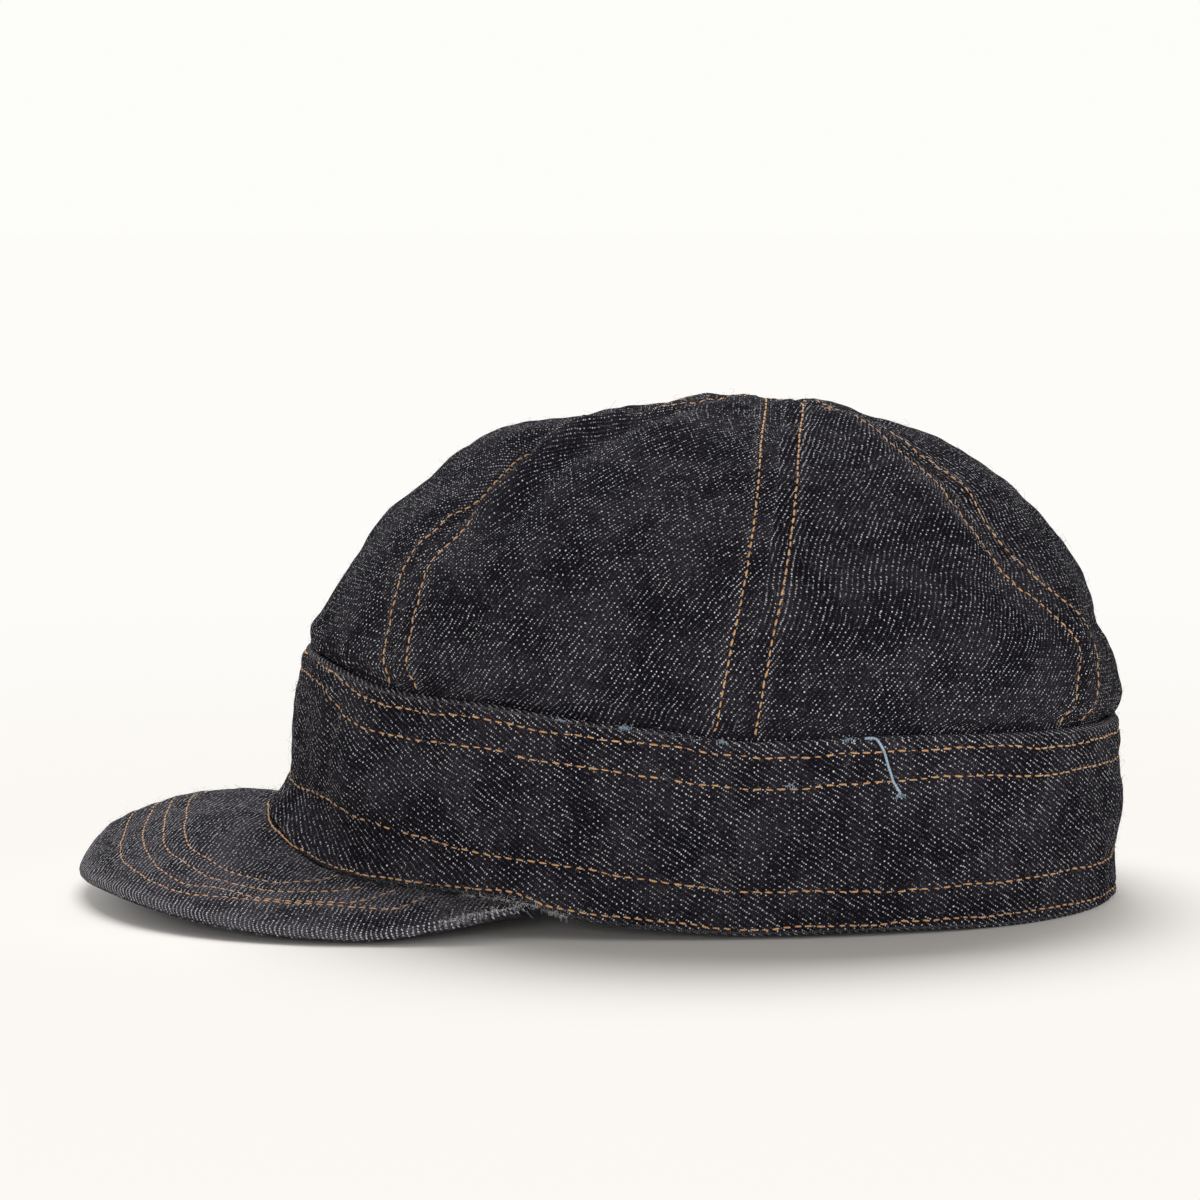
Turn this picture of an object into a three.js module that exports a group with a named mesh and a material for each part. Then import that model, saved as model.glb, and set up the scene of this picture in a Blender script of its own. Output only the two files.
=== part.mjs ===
// Work cap in black denim: a crown of six gores, a head band in two lengths and a short peak.
// Millimetres. +X is the wearer's left, -Y is forward, +Z is up. The cap stands on z = 0, and the
// origin is on the floor, midway between the tip of the peak and the back of the crown.
import * as THREE from "three";

// Driving dimensions
const BAND_LENGTH = 205.4;
const BAND_WIDTH = 166;
const BAND_MIDDLE_Y = 26.4;
const BAND_THICKNESS = 2.2;
const OVAL_POWER_FRONT = 2.05;
const OVAL_POWER_BACK = 2.45;
const CROWN_HEIGHT = 120.6;
const CROWN_THICKNESS = 1.4;
const CROWN_TOP_BACK = 19.8;
const CROWN_TOP_RISE = 0.993;
const SKIRT_DEPTH = 11;
const SEAM_GAP = 0.3;
const TUCK_GAP = 0.4;
const PANEL_PUFF = 1.1;
const OVERHANG_SIDE = 1.4;
const OVERHANG_BACK = 0.4;
const OVERHANG_RISE = 6;
const PEAK_THICKNESS = 2.8;
const PEAK_END_TURN = 59;
const PEAK_RIM_END = 115;
const PEAK_RIM_MIDDLE = 80;
const PEAK_RIM_LENGTH = 76.1;
const PEAK_RIM_WIDTH = 84.5;
const PEAK_DROOP = 2.3;
const PEAK_END_SHARE = 0.75;
const FLARE_DEPTH = 6.8;
const FLARE_SHARE = 0.3;
const FLARE_POWER = 1.8;
const LEAN_FRONT = 4;
const LEAN_SIDE = 1.2;
const FOLD_FADE_RISE = 0.06;
const FIRST_RISE = 0.012;

// Edges of the band above the floor by turn from the front: lower edge on the left and on the
// right, where the peak lifts it a little, and upper edge
const BAND_EDGES = [
  { turn: 0, left: 19.4, right: 19.4, high: 60.5 },
  { turn: 9, left: 17.9, right: 19.6, high: 60.2 },
  { turn: 20, left: 12.9, right: 18.2, high: 58.4 },
  { turn: 31, left: 10.5, right: 14.6, high: 55.6 },
  { turn: 51, left: 9.3, right: 10.2, high: 53.8 },
  { turn: 58, left: 8.2, right: 8.4, high: 52.4 },
  { turn: 65, left: 4.9, right: 4.9, high: 51.0 },
  { turn: 80, left: 2.1, right: 2.1, high: 48.6 },
  { turn: 92, left: 0.9, right: 0.9, high: 46.2 },
  { turn: 115, left: 1.0, right: 1.0, high: 46.9 },
  { turn: 138, left: 0.0, right: 0.0, high: 45.8 },
  { turn: 180, left: 0.0, right: 0.0, high: 44.6 },
];

// Underside of the peak's rim above the floor, by turn round the rim's own oval
const PEAK_RIM_EDGES = [
  { turn: 0, low: 4.4 },
  { turn: 32, low: 3.2 },
  { turn: 56, low: 1.1 },
  { turn: 72, low: 0.0 },
  { turn: 90, low: 0.0 },
  { turn: 106, low: 3.8 },
  { turn: 115, low: 4.9 },
];

// The peak's upper face bulges a little on the right, round this place
const PEAK_BUCKLE = { x: -30, y: -98, width: 24, lift: 2.2 };

// Arch of the crown's outline from band to top: power of its curve low down and high up
const CROWN_ARCHES = [
  { turn: 0, lower: 1.4, upper: 2.45 },
  { turn: 45, lower: 2.0, upper: 2.4 },
  { turn: 90, lower: 2.3, upper: 2.4 },
  { turn: 180, lower: 1.85, upper: 1.95 },
];

// Crown seams, each where a gore starts: its turn at the band, midway up and at the top
const CROWN_SEAMS = [
  { name: "crown_front", foot: -34, middle: -35, top: -40 },
  { name: "crown_front_left", foot: 34, middle: 35, top: 40 },
  { name: "crown_back_left", foot: 90, middle: 95, top: 101 },
  { name: "crown_back", foot: 146, middle: 136, top: 134 },
  { name: "crown_back_right", foot: 214, middle: 224, top: 226 },
  { name: "crown_front_right", foot: 270, middle: 265, top: 259 },
];

// Folds of the crown, each a soft ridge (lift above 0) or hollow (below 0) along a line on the cloth
const CROWN_FOLDS = [
  { name: "brow ridge", turn: 50, rise: 0.52, turnTo: 66, riseTo: 0.9, width: 11, lift: 2.4 },
  { name: "brow hollow", turn: 34, rise: 0.42, turnTo: 30, riseTo: 0.84, width: 12, lift: -2.2 },
  { name: "front slope", turn: -24, rise: 0.2, turnTo: 24, riseTo: 0.2, width: 22, lift: -0.6 },
  { name: "front crest", turn: -14, rise: 0.58, turnTo: 16, riseTo: 0.62, width: 15, lift: 1.8 },
  { name: "left back ridge", turn: 128, rise: 0.46, turnTo: 122, riseTo: 0.82, width: 12, lift: 1.6 },
  { name: "left back hollow", turn: 141, rise: 0.3, turnTo: 138, riseTo: 0.62, width: 12, lift: -2.6 },
  { name: "back roll", turn: 158, rise: 0.03, turnTo: 200, riseTo: 0.03, width: 8, lift: 1.2 },
  { name: "right brow ridge", turn: -52, rise: 0.5, turnTo: -64, riseTo: 0.86, width: 12, lift: 1.8 },
  { name: "right hollow", turn: -74, rise: 0.24, turnTo: -104, riseTo: 0.4, width: 16, lift: -1.6 },
  { name: "right back ridge", turn: -130, rise: 0.4, turnTo: -120, riseTo: 0.8, width: 13, lift: 1.6 },
  { name: "top front bump", turn: 8, rise: 0.93, turnTo: -8, riseTo: 0.93, width: 9, lift: 0.8 },
  { name: "top back bump", turn: 176, rise: 0.93, turnTo: 184, riseTo: 0.93, width: 8, lift: 0.7 },
];

// Mesh steps, and steps for measuring slopes
const PANEL_STEPS_ACROSS = 11;
const PANEL_RISES = [
  -1, -0.5, -0.04, FIRST_RISE, 0.04, 0.09, 0.16, 0.24, 0.33, 0.42, 0.52, 0.62, 0.72, 0.81, 0.89, 0.95,
];
const BAND_STEPS_ROUND = 30;
const BAND_STEPS_UP = 5;
const PEAK_STEPS_ROUND = 30;
const PEAK_STEPS_OUT = 7;
const FOLD_STEPS = 6;
const TURN_STEP = 0.4;
const RISE_STEP = 0.008;
const PEAK_STEP = 0.05;

const RADIAN = Math.PI / 180;
const mix = (from, to, share) => from + (to - from) * share;
const clamp = (value, low, high) => Math.min(high, Math.max(low, value));
const softStep = (value) => {
  const share = clamp(value, 0, 1);
  return share * share * (3 - 2 * share);
};

// Smooth value of one column of a table of rows sorted by turn, level at both ends
function readTable(rows, column, turn) {
  const last = rows.length - 1;
  const at = clamp(turn, rows[0].turn, rows[last].turn);
  let i = 0;
  while (i < last - 1 && rows[i + 1].turn < at) i += 1;
  const slope = (k) => {
    if (k === 0 || k === last) return 0;
    return (rows[k + 1][column] - rows[k - 1][column]) / (rows[k + 1].turn - rows[k - 1].turn);
  };
  const span = rows[i + 1].turn - rows[i].turn;
  const u = (at - rows[i].turn) / span;
  const start = rows[i][column] * (1 + 2 * u) * (1 - u) ** 2 + slope(i) * span * u * (1 - u) ** 2;
  const end = rows[i + 1][column] * u * u * (3 - 2 * u) - slope(i + 1) * span * u * u * (1 - u);
  return start + end;
}

// Turn from the front as 0 to 180 degrees, whichever side
const fold = (turn) => {
  const whole = ((turn % 360) + 360) % 360;
  return whole > 180 ? 360 - whole : whole;
};
const onRight = (turn) => Math.sin(turn * RADIAN) < 0;
function lowEdge(turn) {
  return Math.max(0, readTable(BAND_EDGES, onRight(turn) ? "right" : "left", fold(turn)));
}
const highEdge = (turn) => readTable(BAND_EDGES, "high", fold(turn));

// The head oval seen from above: a superellipse that is boxier at the back, as [left, forward]
function ovalPoint(turn) {
  const c = Math.cos(turn * RADIAN);
  const s = Math.sin(turn * RADIAN);
  const power = mix(OVAL_POWER_FRONT, OVAL_POWER_BACK, (1 - c) / 2);
  const sum = Math.abs(c / (BAND_LENGTH / 2)) ** power + Math.abs(s / (BAND_WIDTH / 2)) ** power;
  const radius = sum ** (-1 / power);
  return [radius * s, radius * c];
}

// The oval moved outwards by offset, square to its own line
function ovalOffset(turn, offset) {
  const [left, forward] = ovalPoint(turn);
  const [leftA, forwardA] = ovalPoint(turn - TURN_STEP);
  const [leftB, forwardB] = ovalPoint(turn + TURN_STEP);
  const run = [leftB - leftA, forwardB - forwardA];
  const size = Math.hypot(run[0], run[1]);
  return [left - (offset * run[1]) / size, forward + (offset * run[0]) / size];
}

// How far the band stands out of the oval: flared above the peak, leaning in at its upper edge
function bandOffset(turn, share) {
  const front = Math.max(0, Math.cos(turn * RADIAN));
  const side = Math.sin(turn * RADIAN) ** 2;
  const flare = FLARE_DEPTH * Math.max(0, 1 - share / FLARE_SHARE) ** FLARE_POWER * front ** 1.5;
  return flare - (LEAN_FRONT * front ** 2 + LEAN_SIDE * side) * share ** 3;
}

// Point of the band at a turn and a share of its height, set in from the outer face by inset
function bandPoint(turn, share, inset) {
  const [left, forward] = ovalOffset(turn, bandOffset(turn, share) - inset);
  return new THREE.Vector3(left, BAND_MIDDLE_Y - forward, mix(lowEdge(turn), highEdge(turn), share));
}

// Crown's bare surface, with rise -1 to 0 for the skirt inside the band and 0 to 1 from band to top
function crownForm(turn, rise) {
  const high = highEdge(turn);
  const tucked = BAND_THICKNESS + TUCK_GAP;
  if (rise <= 0) {
    const share = 1 + (rise * SKIRT_DEPTH) / (high - lowEdge(turn));
    return bandPoint(turn, share, tucked);
  }
  const lower = readTable(CROWN_ARCHES, "lower", fold(turn));
  const upper = readTable(CROWN_ARCHES, "upper", fold(turn));
  const power = mix(lower, upper, rise);
  const angle = (rise * Math.PI) / 2;
  const reach = Math.cos(angle) ** (2 / power);
  const height = Math.sin(angle) ** (2 / power) * (CROWN_HEIGHT - high);
  const out = softStep(height / OVERHANG_RISE);
  const back = softStep((fold(turn) - 90) / 90);
  const over = OVERHANG_SIDE * Math.sin(turn * RADIAN) ** 2 + OVERHANG_BACK * back;
  const [left, forward] = ovalOffset(turn, bandOffset(turn, 1) - tucked + (tucked + over) * out);
  const topY = BAND_MIDDLE_Y + CROWN_TOP_BACK;
  return new THREE.Vector3(
    left * reach,
    topY + (BAND_MIDDLE_Y - forward - topY) * reach,
    high + height,
  );
}

// Direction square to a surface given as point(a, b): across both of its slopes
function squareTo(point, a, b, stepA, stepB) {
  const alongA = point(a + stepA, b).sub(point(a - stepA, b));
  const alongB = point(a, b + stepB).sub(point(a, b - stepB));
  return alongA.cross(alongB).normalize();
}

// Outward normal of the crown, with a step that stays short of the top and of the band's edge
function crownNormal(turn, rise) {
  const step = Math.min(RISE_STEP, (1 - rise) / 2);
  return squareTo(crownForm, turn, rise, TURN_STEP, step);
}

// Lift of all folds at a point of the crown, fading out towards the band so that the skirt stays put
function foldLift(place, rise) {
  let lift = 0;
  for (const row of CROWN_FOLDS) {
    let nearest = Infinity;
    for (let k = 0; k <= FOLD_STEPS; k += 1) {
      const along = k / FOLD_STEPS;
      const spot = crownForm(mix(row.turn, row.turnTo, along), mix(row.rise, row.riseTo, along));
      nearest = Math.min(nearest, spot.distanceTo(place));
    }
    lift += row.lift * Math.exp(-((nearest / row.width) ** 2));
  }
  return lift * softStep(rise / FOLD_FADE_RISE);
}

// Turn of a crown seam at a rise, a parabola through its three turns
function seamTurn(seam, rise) {
  const r = Math.max(0, rise);
  const ends = seam.foot * (1 - r) * (1 - 2 * r) + seam.top * r * (2 * r - 1);
  return ends + seam.middle * 4 * r * (1 - r);
}

// Finished outer surface of the crown at a turn and rise, across being 0 to 1 from seam to seam
function crownPoint(turn, rise, across) {
  const place = crownForm(turn, rise);
  if (rise <= 0) return place;
  const puff = PANEL_PUFF * Math.sin(Math.PI * across) * Math.sin(Math.PI * rise) ** 0.8;
  const normal = crownNormal(turn, rise);
  return place.addScaledVector(normal, puff + foldLift(place, rise));
}

// Top face of the peak: turn -1 to 1 from end to end, out 0 at the band and 1 at the rim
function peakPoint(turn, out) {
  const seamAt = turn * PEAK_END_TURN;
  const rimAt = turn * PEAK_RIM_END;
  const seam = bandPoint(seamAt, 0, BAND_THICKNESS);
  const rim = new THREE.Vector3(
    PEAK_RIM_WIDTH * Math.sin(rimAt * RADIAN),
    BAND_MIDDLE_Y - PEAK_RIM_MIDDLE - PEAK_RIM_LENGTH * Math.cos(rimAt * RADIAN),
    readTable(PEAK_RIM_EDGES, "low", Math.abs(rimAt)) + PEAK_THICKNESS,
  );
  const level = seam.z - SEAM_GAP;
  const point = seam.clone().lerp(rim, out);
  const buckle = Math.hypot(point.x - PEAK_BUCKLE.x, point.y - PEAK_BUCKLE.y) / PEAK_BUCKLE.width;
  const lift = PEAK_BUCKLE.lift * Math.exp(-(buckle ** 2)) * Math.sin(Math.PI * out ** 0.8);
  point.z = mix(level, rim.z, out ** PEAK_DROOP) + lift;
  return point;
}

// Closed solid between an outer and an inner grid of points, both [row][column]
function solidBetween(outer, inner) {
  const rows = outer.length;
  const columns = outer[0].length;
  const positions = [];
  for (const grid of [outer, inner]) {
    for (const row of grid) {
      for (const point of row) positions.push(point.x, point.y, point.z);
    }
  }
  const outerAt = (r, c) => r * columns + c;
  const innerAt = (r, c) => rows * columns + r * columns + c;
  const faces = [];
  const quad = (a, b, c, d) => faces.push(a, b, c, a, c, d);
  for (let r = 0; r < rows - 1; r += 1) {
    for (let c = 0; c < columns - 1; c += 1) {
      quad(outerAt(r, c), outerAt(r, c + 1), outerAt(r + 1, c + 1), outerAt(r + 1, c));
      quad(innerAt(r, c), innerAt(r + 1, c), innerAt(r + 1, c + 1), innerAt(r, c + 1));
    }
    quad(outerAt(r, 0), outerAt(r + 1, 0), innerAt(r + 1, 0), innerAt(r, 0));
    const c = columns - 1;
    quad(outerAt(r, c), innerAt(r, c), innerAt(r + 1, c), outerAt(r + 1, c));
  }
  for (let c = 0; c < columns - 1; c += 1) {
    quad(outerAt(0, c), innerAt(0, c), innerAt(0, c + 1), outerAt(0, c + 1));
    const r = rows - 1;
    quad(outerAt(r, c), outerAt(r, c + 1), innerAt(r, c + 1), innerAt(r, c));
  }
  return faceOutwards(positions, faces);
}

// Turns all faces round when the volume that they close comes out negative
function faceOutwards(positions, faces) {
  let volume = 0;
  const at = (i) => new THREE.Vector3(positions[3 * i], positions[3 * i + 1], positions[3 * i + 2]);
  for (let f = 0; f < faces.length; f += 3) {
    volume += at(faces[f]).dot(at(faces[f + 1]).cross(at(faces[f + 2])));
  }
  if (volume < 0) faces.reverse();
  const geometry = new THREE.BufferGeometry();
  geometry.setAttribute("position", new THREE.Float32BufferAttribute(positions, 3));
  geometry.setIndex(faces);
  geometry.computeVertexNormals();
  return geometry;
}

// One gore of the crown between its seam and the next, half a seam gap short of each
function crownPanel(seam, nextSeam) {
  const nextTurn = nextSeam.foot < seam.foot ? 360 : 0;
  const outer = [];
  const inner = [];
  const rises = [...PANEL_RISES, CROWN_TOP_RISE];
  for (const rise of rises) {
    const from = seamTurn(seam, rise);
    const to = seamTurn(nextSeam, rise) + nextTurn;
    const width = crownForm(from, rise).distanceTo(crownForm(from + 1, rise));
    const trim = SEAM_GAP / 2 / width;
    const outerRow = [];
    const innerRow = [];
    for (let i = 0; i <= PANEL_STEPS_ACROSS; i += 1) {
      const across = i / PANEL_STEPS_ACROSS;
      const turn = mix(from + trim, to - trim, across);
      const point = crownPoint(turn, rise, across);
      const normal = crownNormal(turn, rise);
      outerRow.push(point);
      innerRow.push(point.clone().addScaledVector(normal, -CROWN_THICKNESS));
    }
    outer.push(outerRow);
    inner.push(innerRow);
  }
  return solidBetween(outer, inner);
}

// One length of the head band between two side seams
function bandLength(fromTurn, toTurn) {
  const trim = SEAM_GAP / (BAND_WIDTH * RADIAN);
  const outer = [];
  const inner = [];
  for (let r = 0; r <= BAND_STEPS_UP; r += 1) {
    const share = r / BAND_STEPS_UP;
    const outerRow = [];
    const innerRow = [];
    for (let i = 0; i <= BAND_STEPS_ROUND; i += 1) {
      const turn = mix(fromTurn + trim, toTurn - trim, i / BAND_STEPS_ROUND);
      outerRow.push(bandPoint(turn, share, 0));
      innerRow.push(bandPoint(turn, share, BAND_THICKNESS));
    }
    outer.push(outerRow);
    inner.push(innerRow);
  }
  return solidBetween(outer, inner);
}

// The stiffened peak, a bent crescent of even thickness, whose thickness runs plumb at its two ends
function peakPlate() {
  const top = [];
  const under = [];
  for (let r = 0; r <= PEAK_STEPS_OUT; r += 1) {
    const out = r / PEAK_STEPS_OUT;
    const topRow = [];
    const underRow = [];
    for (let i = 0; i <= PEAK_STEPS_ROUND; i += 1) {
      const turn = mix(1, -1, i / PEAK_STEPS_ROUND);
      const point = peakPoint(turn, out);
      const normal = squareTo(
        peakPoint,
        clamp(turn, PEAK_STEP - 1, 1 - PEAK_STEP),
        clamp(out, PEAK_STEP, 1 - PEAK_STEP),
        PEAK_STEP,
        PEAK_STEP,
      );
      const plumb = softStep((Math.abs(turn) - PEAK_END_SHARE) / (1 - PEAK_END_SHARE));
      normal.lerp(new THREE.Vector3(0, 0, -1), plumb).normalize();
      const below = point.clone().addScaledVector(normal, PEAK_THICKNESS);
      below.z = Math.max(0, below.z);
      topRow.push(point);
      underRow.push(below);
    }
    top.push(topRow);
    under.push(underRow);
  }
  return solidBetween(top, under);
}

const denim = (colour) => new THREE.MeshStandardMaterial({ color: colour, roughness: 0.95, metalness: 0 });
const cap = new THREE.Group();

function addPiece(name, geometry, material) {
  const mesh = new THREE.Mesh(geometry, material);
  mesh.name = name;
  cap.add(mesh);
}

CROWN_SEAMS.forEach((seam, k) => {
  const nextSeam = CROWN_SEAMS[(k + 1) % CROWN_SEAMS.length];
  addPiece(seam.name, crownPanel(seam, nextSeam), denim(0x33313a));
});
addPiece("band_front", bandLength(-90, 90), denim(0x302f37));
addPiece("band_back", bandLength(90, 270), denim(0x302f37));
addPiece("peak", peakPlate(), denim(0x403e42));

export default cap;
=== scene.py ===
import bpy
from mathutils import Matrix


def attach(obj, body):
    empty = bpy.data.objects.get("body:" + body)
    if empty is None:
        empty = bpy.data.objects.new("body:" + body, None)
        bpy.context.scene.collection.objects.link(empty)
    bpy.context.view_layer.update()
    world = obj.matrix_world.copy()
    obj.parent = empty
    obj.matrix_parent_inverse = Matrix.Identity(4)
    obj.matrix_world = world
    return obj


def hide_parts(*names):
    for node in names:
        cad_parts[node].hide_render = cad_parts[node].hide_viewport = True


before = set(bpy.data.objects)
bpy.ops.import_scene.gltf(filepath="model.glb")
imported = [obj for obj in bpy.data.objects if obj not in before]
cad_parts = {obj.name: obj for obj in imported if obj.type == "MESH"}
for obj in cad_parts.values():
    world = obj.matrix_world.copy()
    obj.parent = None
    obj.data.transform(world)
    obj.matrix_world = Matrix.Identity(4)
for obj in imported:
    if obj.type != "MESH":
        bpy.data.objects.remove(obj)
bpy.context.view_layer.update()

import math
from functools import partial

import bpy
import numpy as np
from bpy.props import FloatProperty, FloatVectorProperty, IntProperty, PointerProperty
from mathutils import Vector

bl_info = {
    "name": "Denim Work Cap",
    "version": (1, 0, 0),
    "blender": (4, 5, 0),
    "location": "3D View > Sidebar > Work Cap",
    "description": "Builds a six-gore denim cap with its stitching round a packed frame",
    "category": "Object",
}

MM = 0.001
TURN_STEP = 0.4
RISE_STEP = 0.008

# Head band
BAND_LENGTH = 205.4
BAND_WIDTH = 166.0
BAND_MIDDLE_Y = 26.4
BAND_THICKNESS = 2.2
OVAL_POWER_FRONT = 2.05
OVAL_POWER_BACK = 2.45
FLARE_DEPTH = 6.8
FLARE_SHARE = 0.3
FLARE_POWER = 1.8
LEAN_FRONT = 4.0
LEAN_SIDE = 1.2
BAND_TURNS = (0, 9, 20, 31, 51, 58, 65, 80, 92, 115, 138, 180)
LOW_LEFT = (19.4, 17.9, 12.9, 10.5, 9.3, 8.2, 4.9, 2.1, 0.9, 1.0, 0.0, 0.0)
LOW_RIGHT = (19.4, 19.6, 18.2, 14.6, 10.2, 8.4, 4.9, 2.1, 0.9, 1.0, 0.0, 0.0)
HIGH = (60.5, 60.2, 58.4, 55.6, 53.8, 52.4, 51.0, 48.6, 46.2, 46.9, 45.8, 44.6)

# Crown
CROWN_HEIGHT = 120.6
CROWN_THICKNESS = 1.3
CROWN_TOP_BACK = 19.8
CROWN_TOP_RISE = 0.9992
SKIRT_DEPTH = 11.0
TUCKED = 2.6
PANEL_PUFF = 1.1
PUFF_POWER = 0.8
OVERHANG_SIDE = 1.4
OVERHANG_BACK = 0.4
OVERHANG_RISE = 6.0
FADE_RISE = 0.022
ARCH_TURNS = (0, 45, 90, 180)
ARCH_LOWER = (1.4, 2.0, 2.3, 1.85)
ARCH_UPPER = (2.45, 2.4, 2.4, 1.95)
TOP_Y = BAND_MIDDLE_Y + CROWN_TOP_BACK

# Gores: CAD node, then the seam where it starts as its turn at the band, midway up and at the top
GORES = (
    ("crown_front", -34, -35, -40),
    ("crown_front_left", 34, 35, 40),
    ("crown_back_left", 90, 95, 101),
    ("crown_back", 146, 136, 134),
    ("crown_back_right", 214, 224, 226),
    ("crown_front_right", 270, 265, 259),
)

# How far a seam wanders from that curve: for each seam, rises and turns to add
SEAM_SWAY = {
    1: (
        (0, 0.2, 0.3, 0.4, 0.5, 0.62, 0.72, 0.8, 0.9, 1),
        (0.0, -2.6, -5.6, -5.0, -4.4, -9.0, -15.0, -19.0, -14.0, 0.0),
    ),
    2: ((0, 0.15, 0.3, 0.5, 0.75, 1), (0.0, 0.8, 1.4, 1.0, -0.8, 0.0)),
    3: (
        (0, 0.08, 0.17, 0.25, 0.31, 0.39, 0.47, 0.57, 0.67, 0.76, 1),
        (2, 6, 10.5, 9, 5, 2.5, 3, 6, 4.5, 1, 0),
    ),
}

# Soft folds of the crown: turns and rises of a line's ends, width and lift (a hollow where it is below 0)
CROWN_FOLDS = (
    ((50, 66), (0.52, 0.90), 11, 2.4),
    ((34, 30), (0.42, 0.84), 12, -2.2),
    ((-24, 24), (0.20, 0.20), 22, -0.6),
    ((-14, 16), (0.58, 0.62), 15, 1.8),
    ((128, 122), (0.46, 0.82), 12, 1.6),
    ((141, 138), (0.30, 0.62), 12, -2.6),
    ((158, 200), (0.03, 0.03), 8, 1.2),
    ((-52, -64), (0.50, 0.86), 12, 1.8),
    ((-74, -104), (0.24, 0.40), 16, -1.6),
    ((-130, -120), (0.40, 0.80), 13, 1.6),
    ((8, -8), (0.93, 0.93), 9, 0.8),
    ((176, 184), (0.93, 0.93), 8, 0.7),
)
# Creases and gathers of the crown: turns and rises of a line's bends, width and lift
CROWN_CREASES = (
    ((-30, 22), (0.56, 0.56), 15, 1.5),
    ((-30, 20), (0.36, 0.36), 12, 0.9),
    ((-40, 34), (0.08, 0.08), 4, 0.9),
    ((165, 200), (0.80, 0.80), 12, -1.3),
    ((160, 205), (0.20, 0.20), 6, -1.8),
    ((36, 37, 34, 30, 28), (0.44, 0.52, 0.62, 0.72, 0.76), 5.0, 5.0),
    ((33, 30), (0.62, 0.70), 4.2, 2.0),
    ((28, 26), (0.82, 0.86), 5.5, 3.0),
    ((25, 23), (0.91, 0.95), 5.5, 1.2),
    ((20, 160), (0.985, 0.985), 7.0, -1.3),
    ((30, 30, 26, 21, 18), (0.46, 0.52, 0.62, 0.72, 0.80), 4.4, -3.8),
    ((24, 20, 16), (0.64, 0.74, 0.84), 4.6, -2.0),
    ((15, 12), (0.89, 0.94), 5.0, -1.2),
    ((44, 46, 44, 43), (0.42, 0.52, 0.66, 0.80), 5, -1.4),
    ((-36, 20), (0.03, 0.03), 3.4, 1.6),
    ((58, 62, 70), (0.50, 0.66, 0.84), 6, 0.9),
    ((104, 110, 116), (0.80, 0.68, 0.50), 7, -0.9),
    ((122, 126, 134), (0.78, 0.58, 0.36), 5, 1.1),
    ((118, 124), (0.30, 0.20), 6, 0.7),
    ((60, 70, 78), (0.30, 0.24, 0.22), 8, -0.7),
    ((45, 52, 60), (0.30, 0.36, 0.40), 6, 0.6),
    ((44, 47), (0.05, 0.16), 4.5, -1.2),
    ((51, 53), (0.04, 0.20), 4.0, 0.9),
    ((56, 58), (0.04, 0.15), 4.0, -1.2),
    ((62, 63), (0.04, 0.18), 4.5, 0.9),
    ((68, 70), (0.04, 0.14), 4.0, -1.3),
    ((74, 75), (0.04, 0.16), 4.0, 0.8),
    ((79, 80), (0.04, 0.12), 3.5, -1.0),
    ((97, 99), (0.05, 0.16), 5.0, -0.9),
    ((106, 106), (0.05, 0.18), 5.0, 0.8),
    ((118, 120), (0.05, 0.22), 6.0, -0.9),
    ((-44, -48), (0.05, 0.18), 5.0, -0.9),
    ((-60, -62), (0.05, 0.16), 5.0, 0.8),
    ((-76, -78), (0.05, 0.18), 5.0, -0.9),
    ((-112, -115), (0.05, 0.18), 6.0, -0.8),
    ((-38, -46), (0.50, 0.80), 5, -1.3),
    ((-104, -112), (0.78, 0.56), 7, -0.9),
)

# Peak
PEAK_THICKNESS = 2.8
PEAK_END_TURN = 59.0
PEAK_RIM_END = 115.0
PEAK_RIM_MIDDLE = 80.0
PEAK_RIM_LENGTH = 76.1
PEAK_RIM_WIDTH = 84.5
PEAK_DROOP = 2.3
PEAK_END_SHARE = 0.75
RIM_TURNS = (0, 12, 24, 34, 46, 58, 72, 90, 106, 115)
RIM_LOW = (3.4, 4.0, 4.7, 4.4, 3.2, 1.8, 0.3, 0.0, 3.8, 4.9)
FAR_LIFT_AT = (-34.0, -121.0)
FAR_LIFT_WIDTH = 19.0
FAR_LIFT = 3.4
BUCKLE_AT = (-30.0, -98.0)
BUCKLE_WIDTH = 24.0
BUCKLE_LIFT = 2.2

# Rows of stitching on the band: turns, and height above the floor
BAND_ROWS = (
    ((0, 17, 21.5, 26.9, 37.4, 50, 58.6, 64.7, 70.5, 80, 86, 94, 103, 112, 129, 142, 180),
     (59.3, 58.0, 55.8, 52.7, 51.2, 50.3, 48.6, 47.6, 46.3, 45.4, 43.6, 42.5, 42.8, 43.2, 43.4, 41.6, 40.9)),
    ((0, 12, 17, 20.5, 25, 30, 37, 45, 53, 59, 66, 76, 87, 96, 106, 123, 141, 180),
     (55.1, 54.6, 53.2, 49.9, 47.0, 45.5, 44.5, 44.1, 43.3, 41.5,
      40.2, 38.4, 36.0, 35.3, 35.7, 36.8, 35.3, 34.4)),
    ((0, 8, 18, 27.6, 35, 45, 56.5, 65, 76.5, 88, 100, 112, 129, 141, 180),
     (28.0, 27.9, 26.8, 24.4, 22.6, 20.0, 18.2, 16.6, 14.2, 11.6, 11.2, 10.6, 10.8, 11.1, 11.0)),
    ((0, 3.4, 20, 31, 42.5, 54, 57.7, 61, 65.5, 71, 80, 91, 103, 123, 135, 180),
     (20.6, 20.3, 13.8, 11.9, 11.2, 10.9, 9.8, 7.8, 6.8, 6.0, 4.2, 2.6, 2.9, 3.2, 3.0, 2.9)),
)
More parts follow.
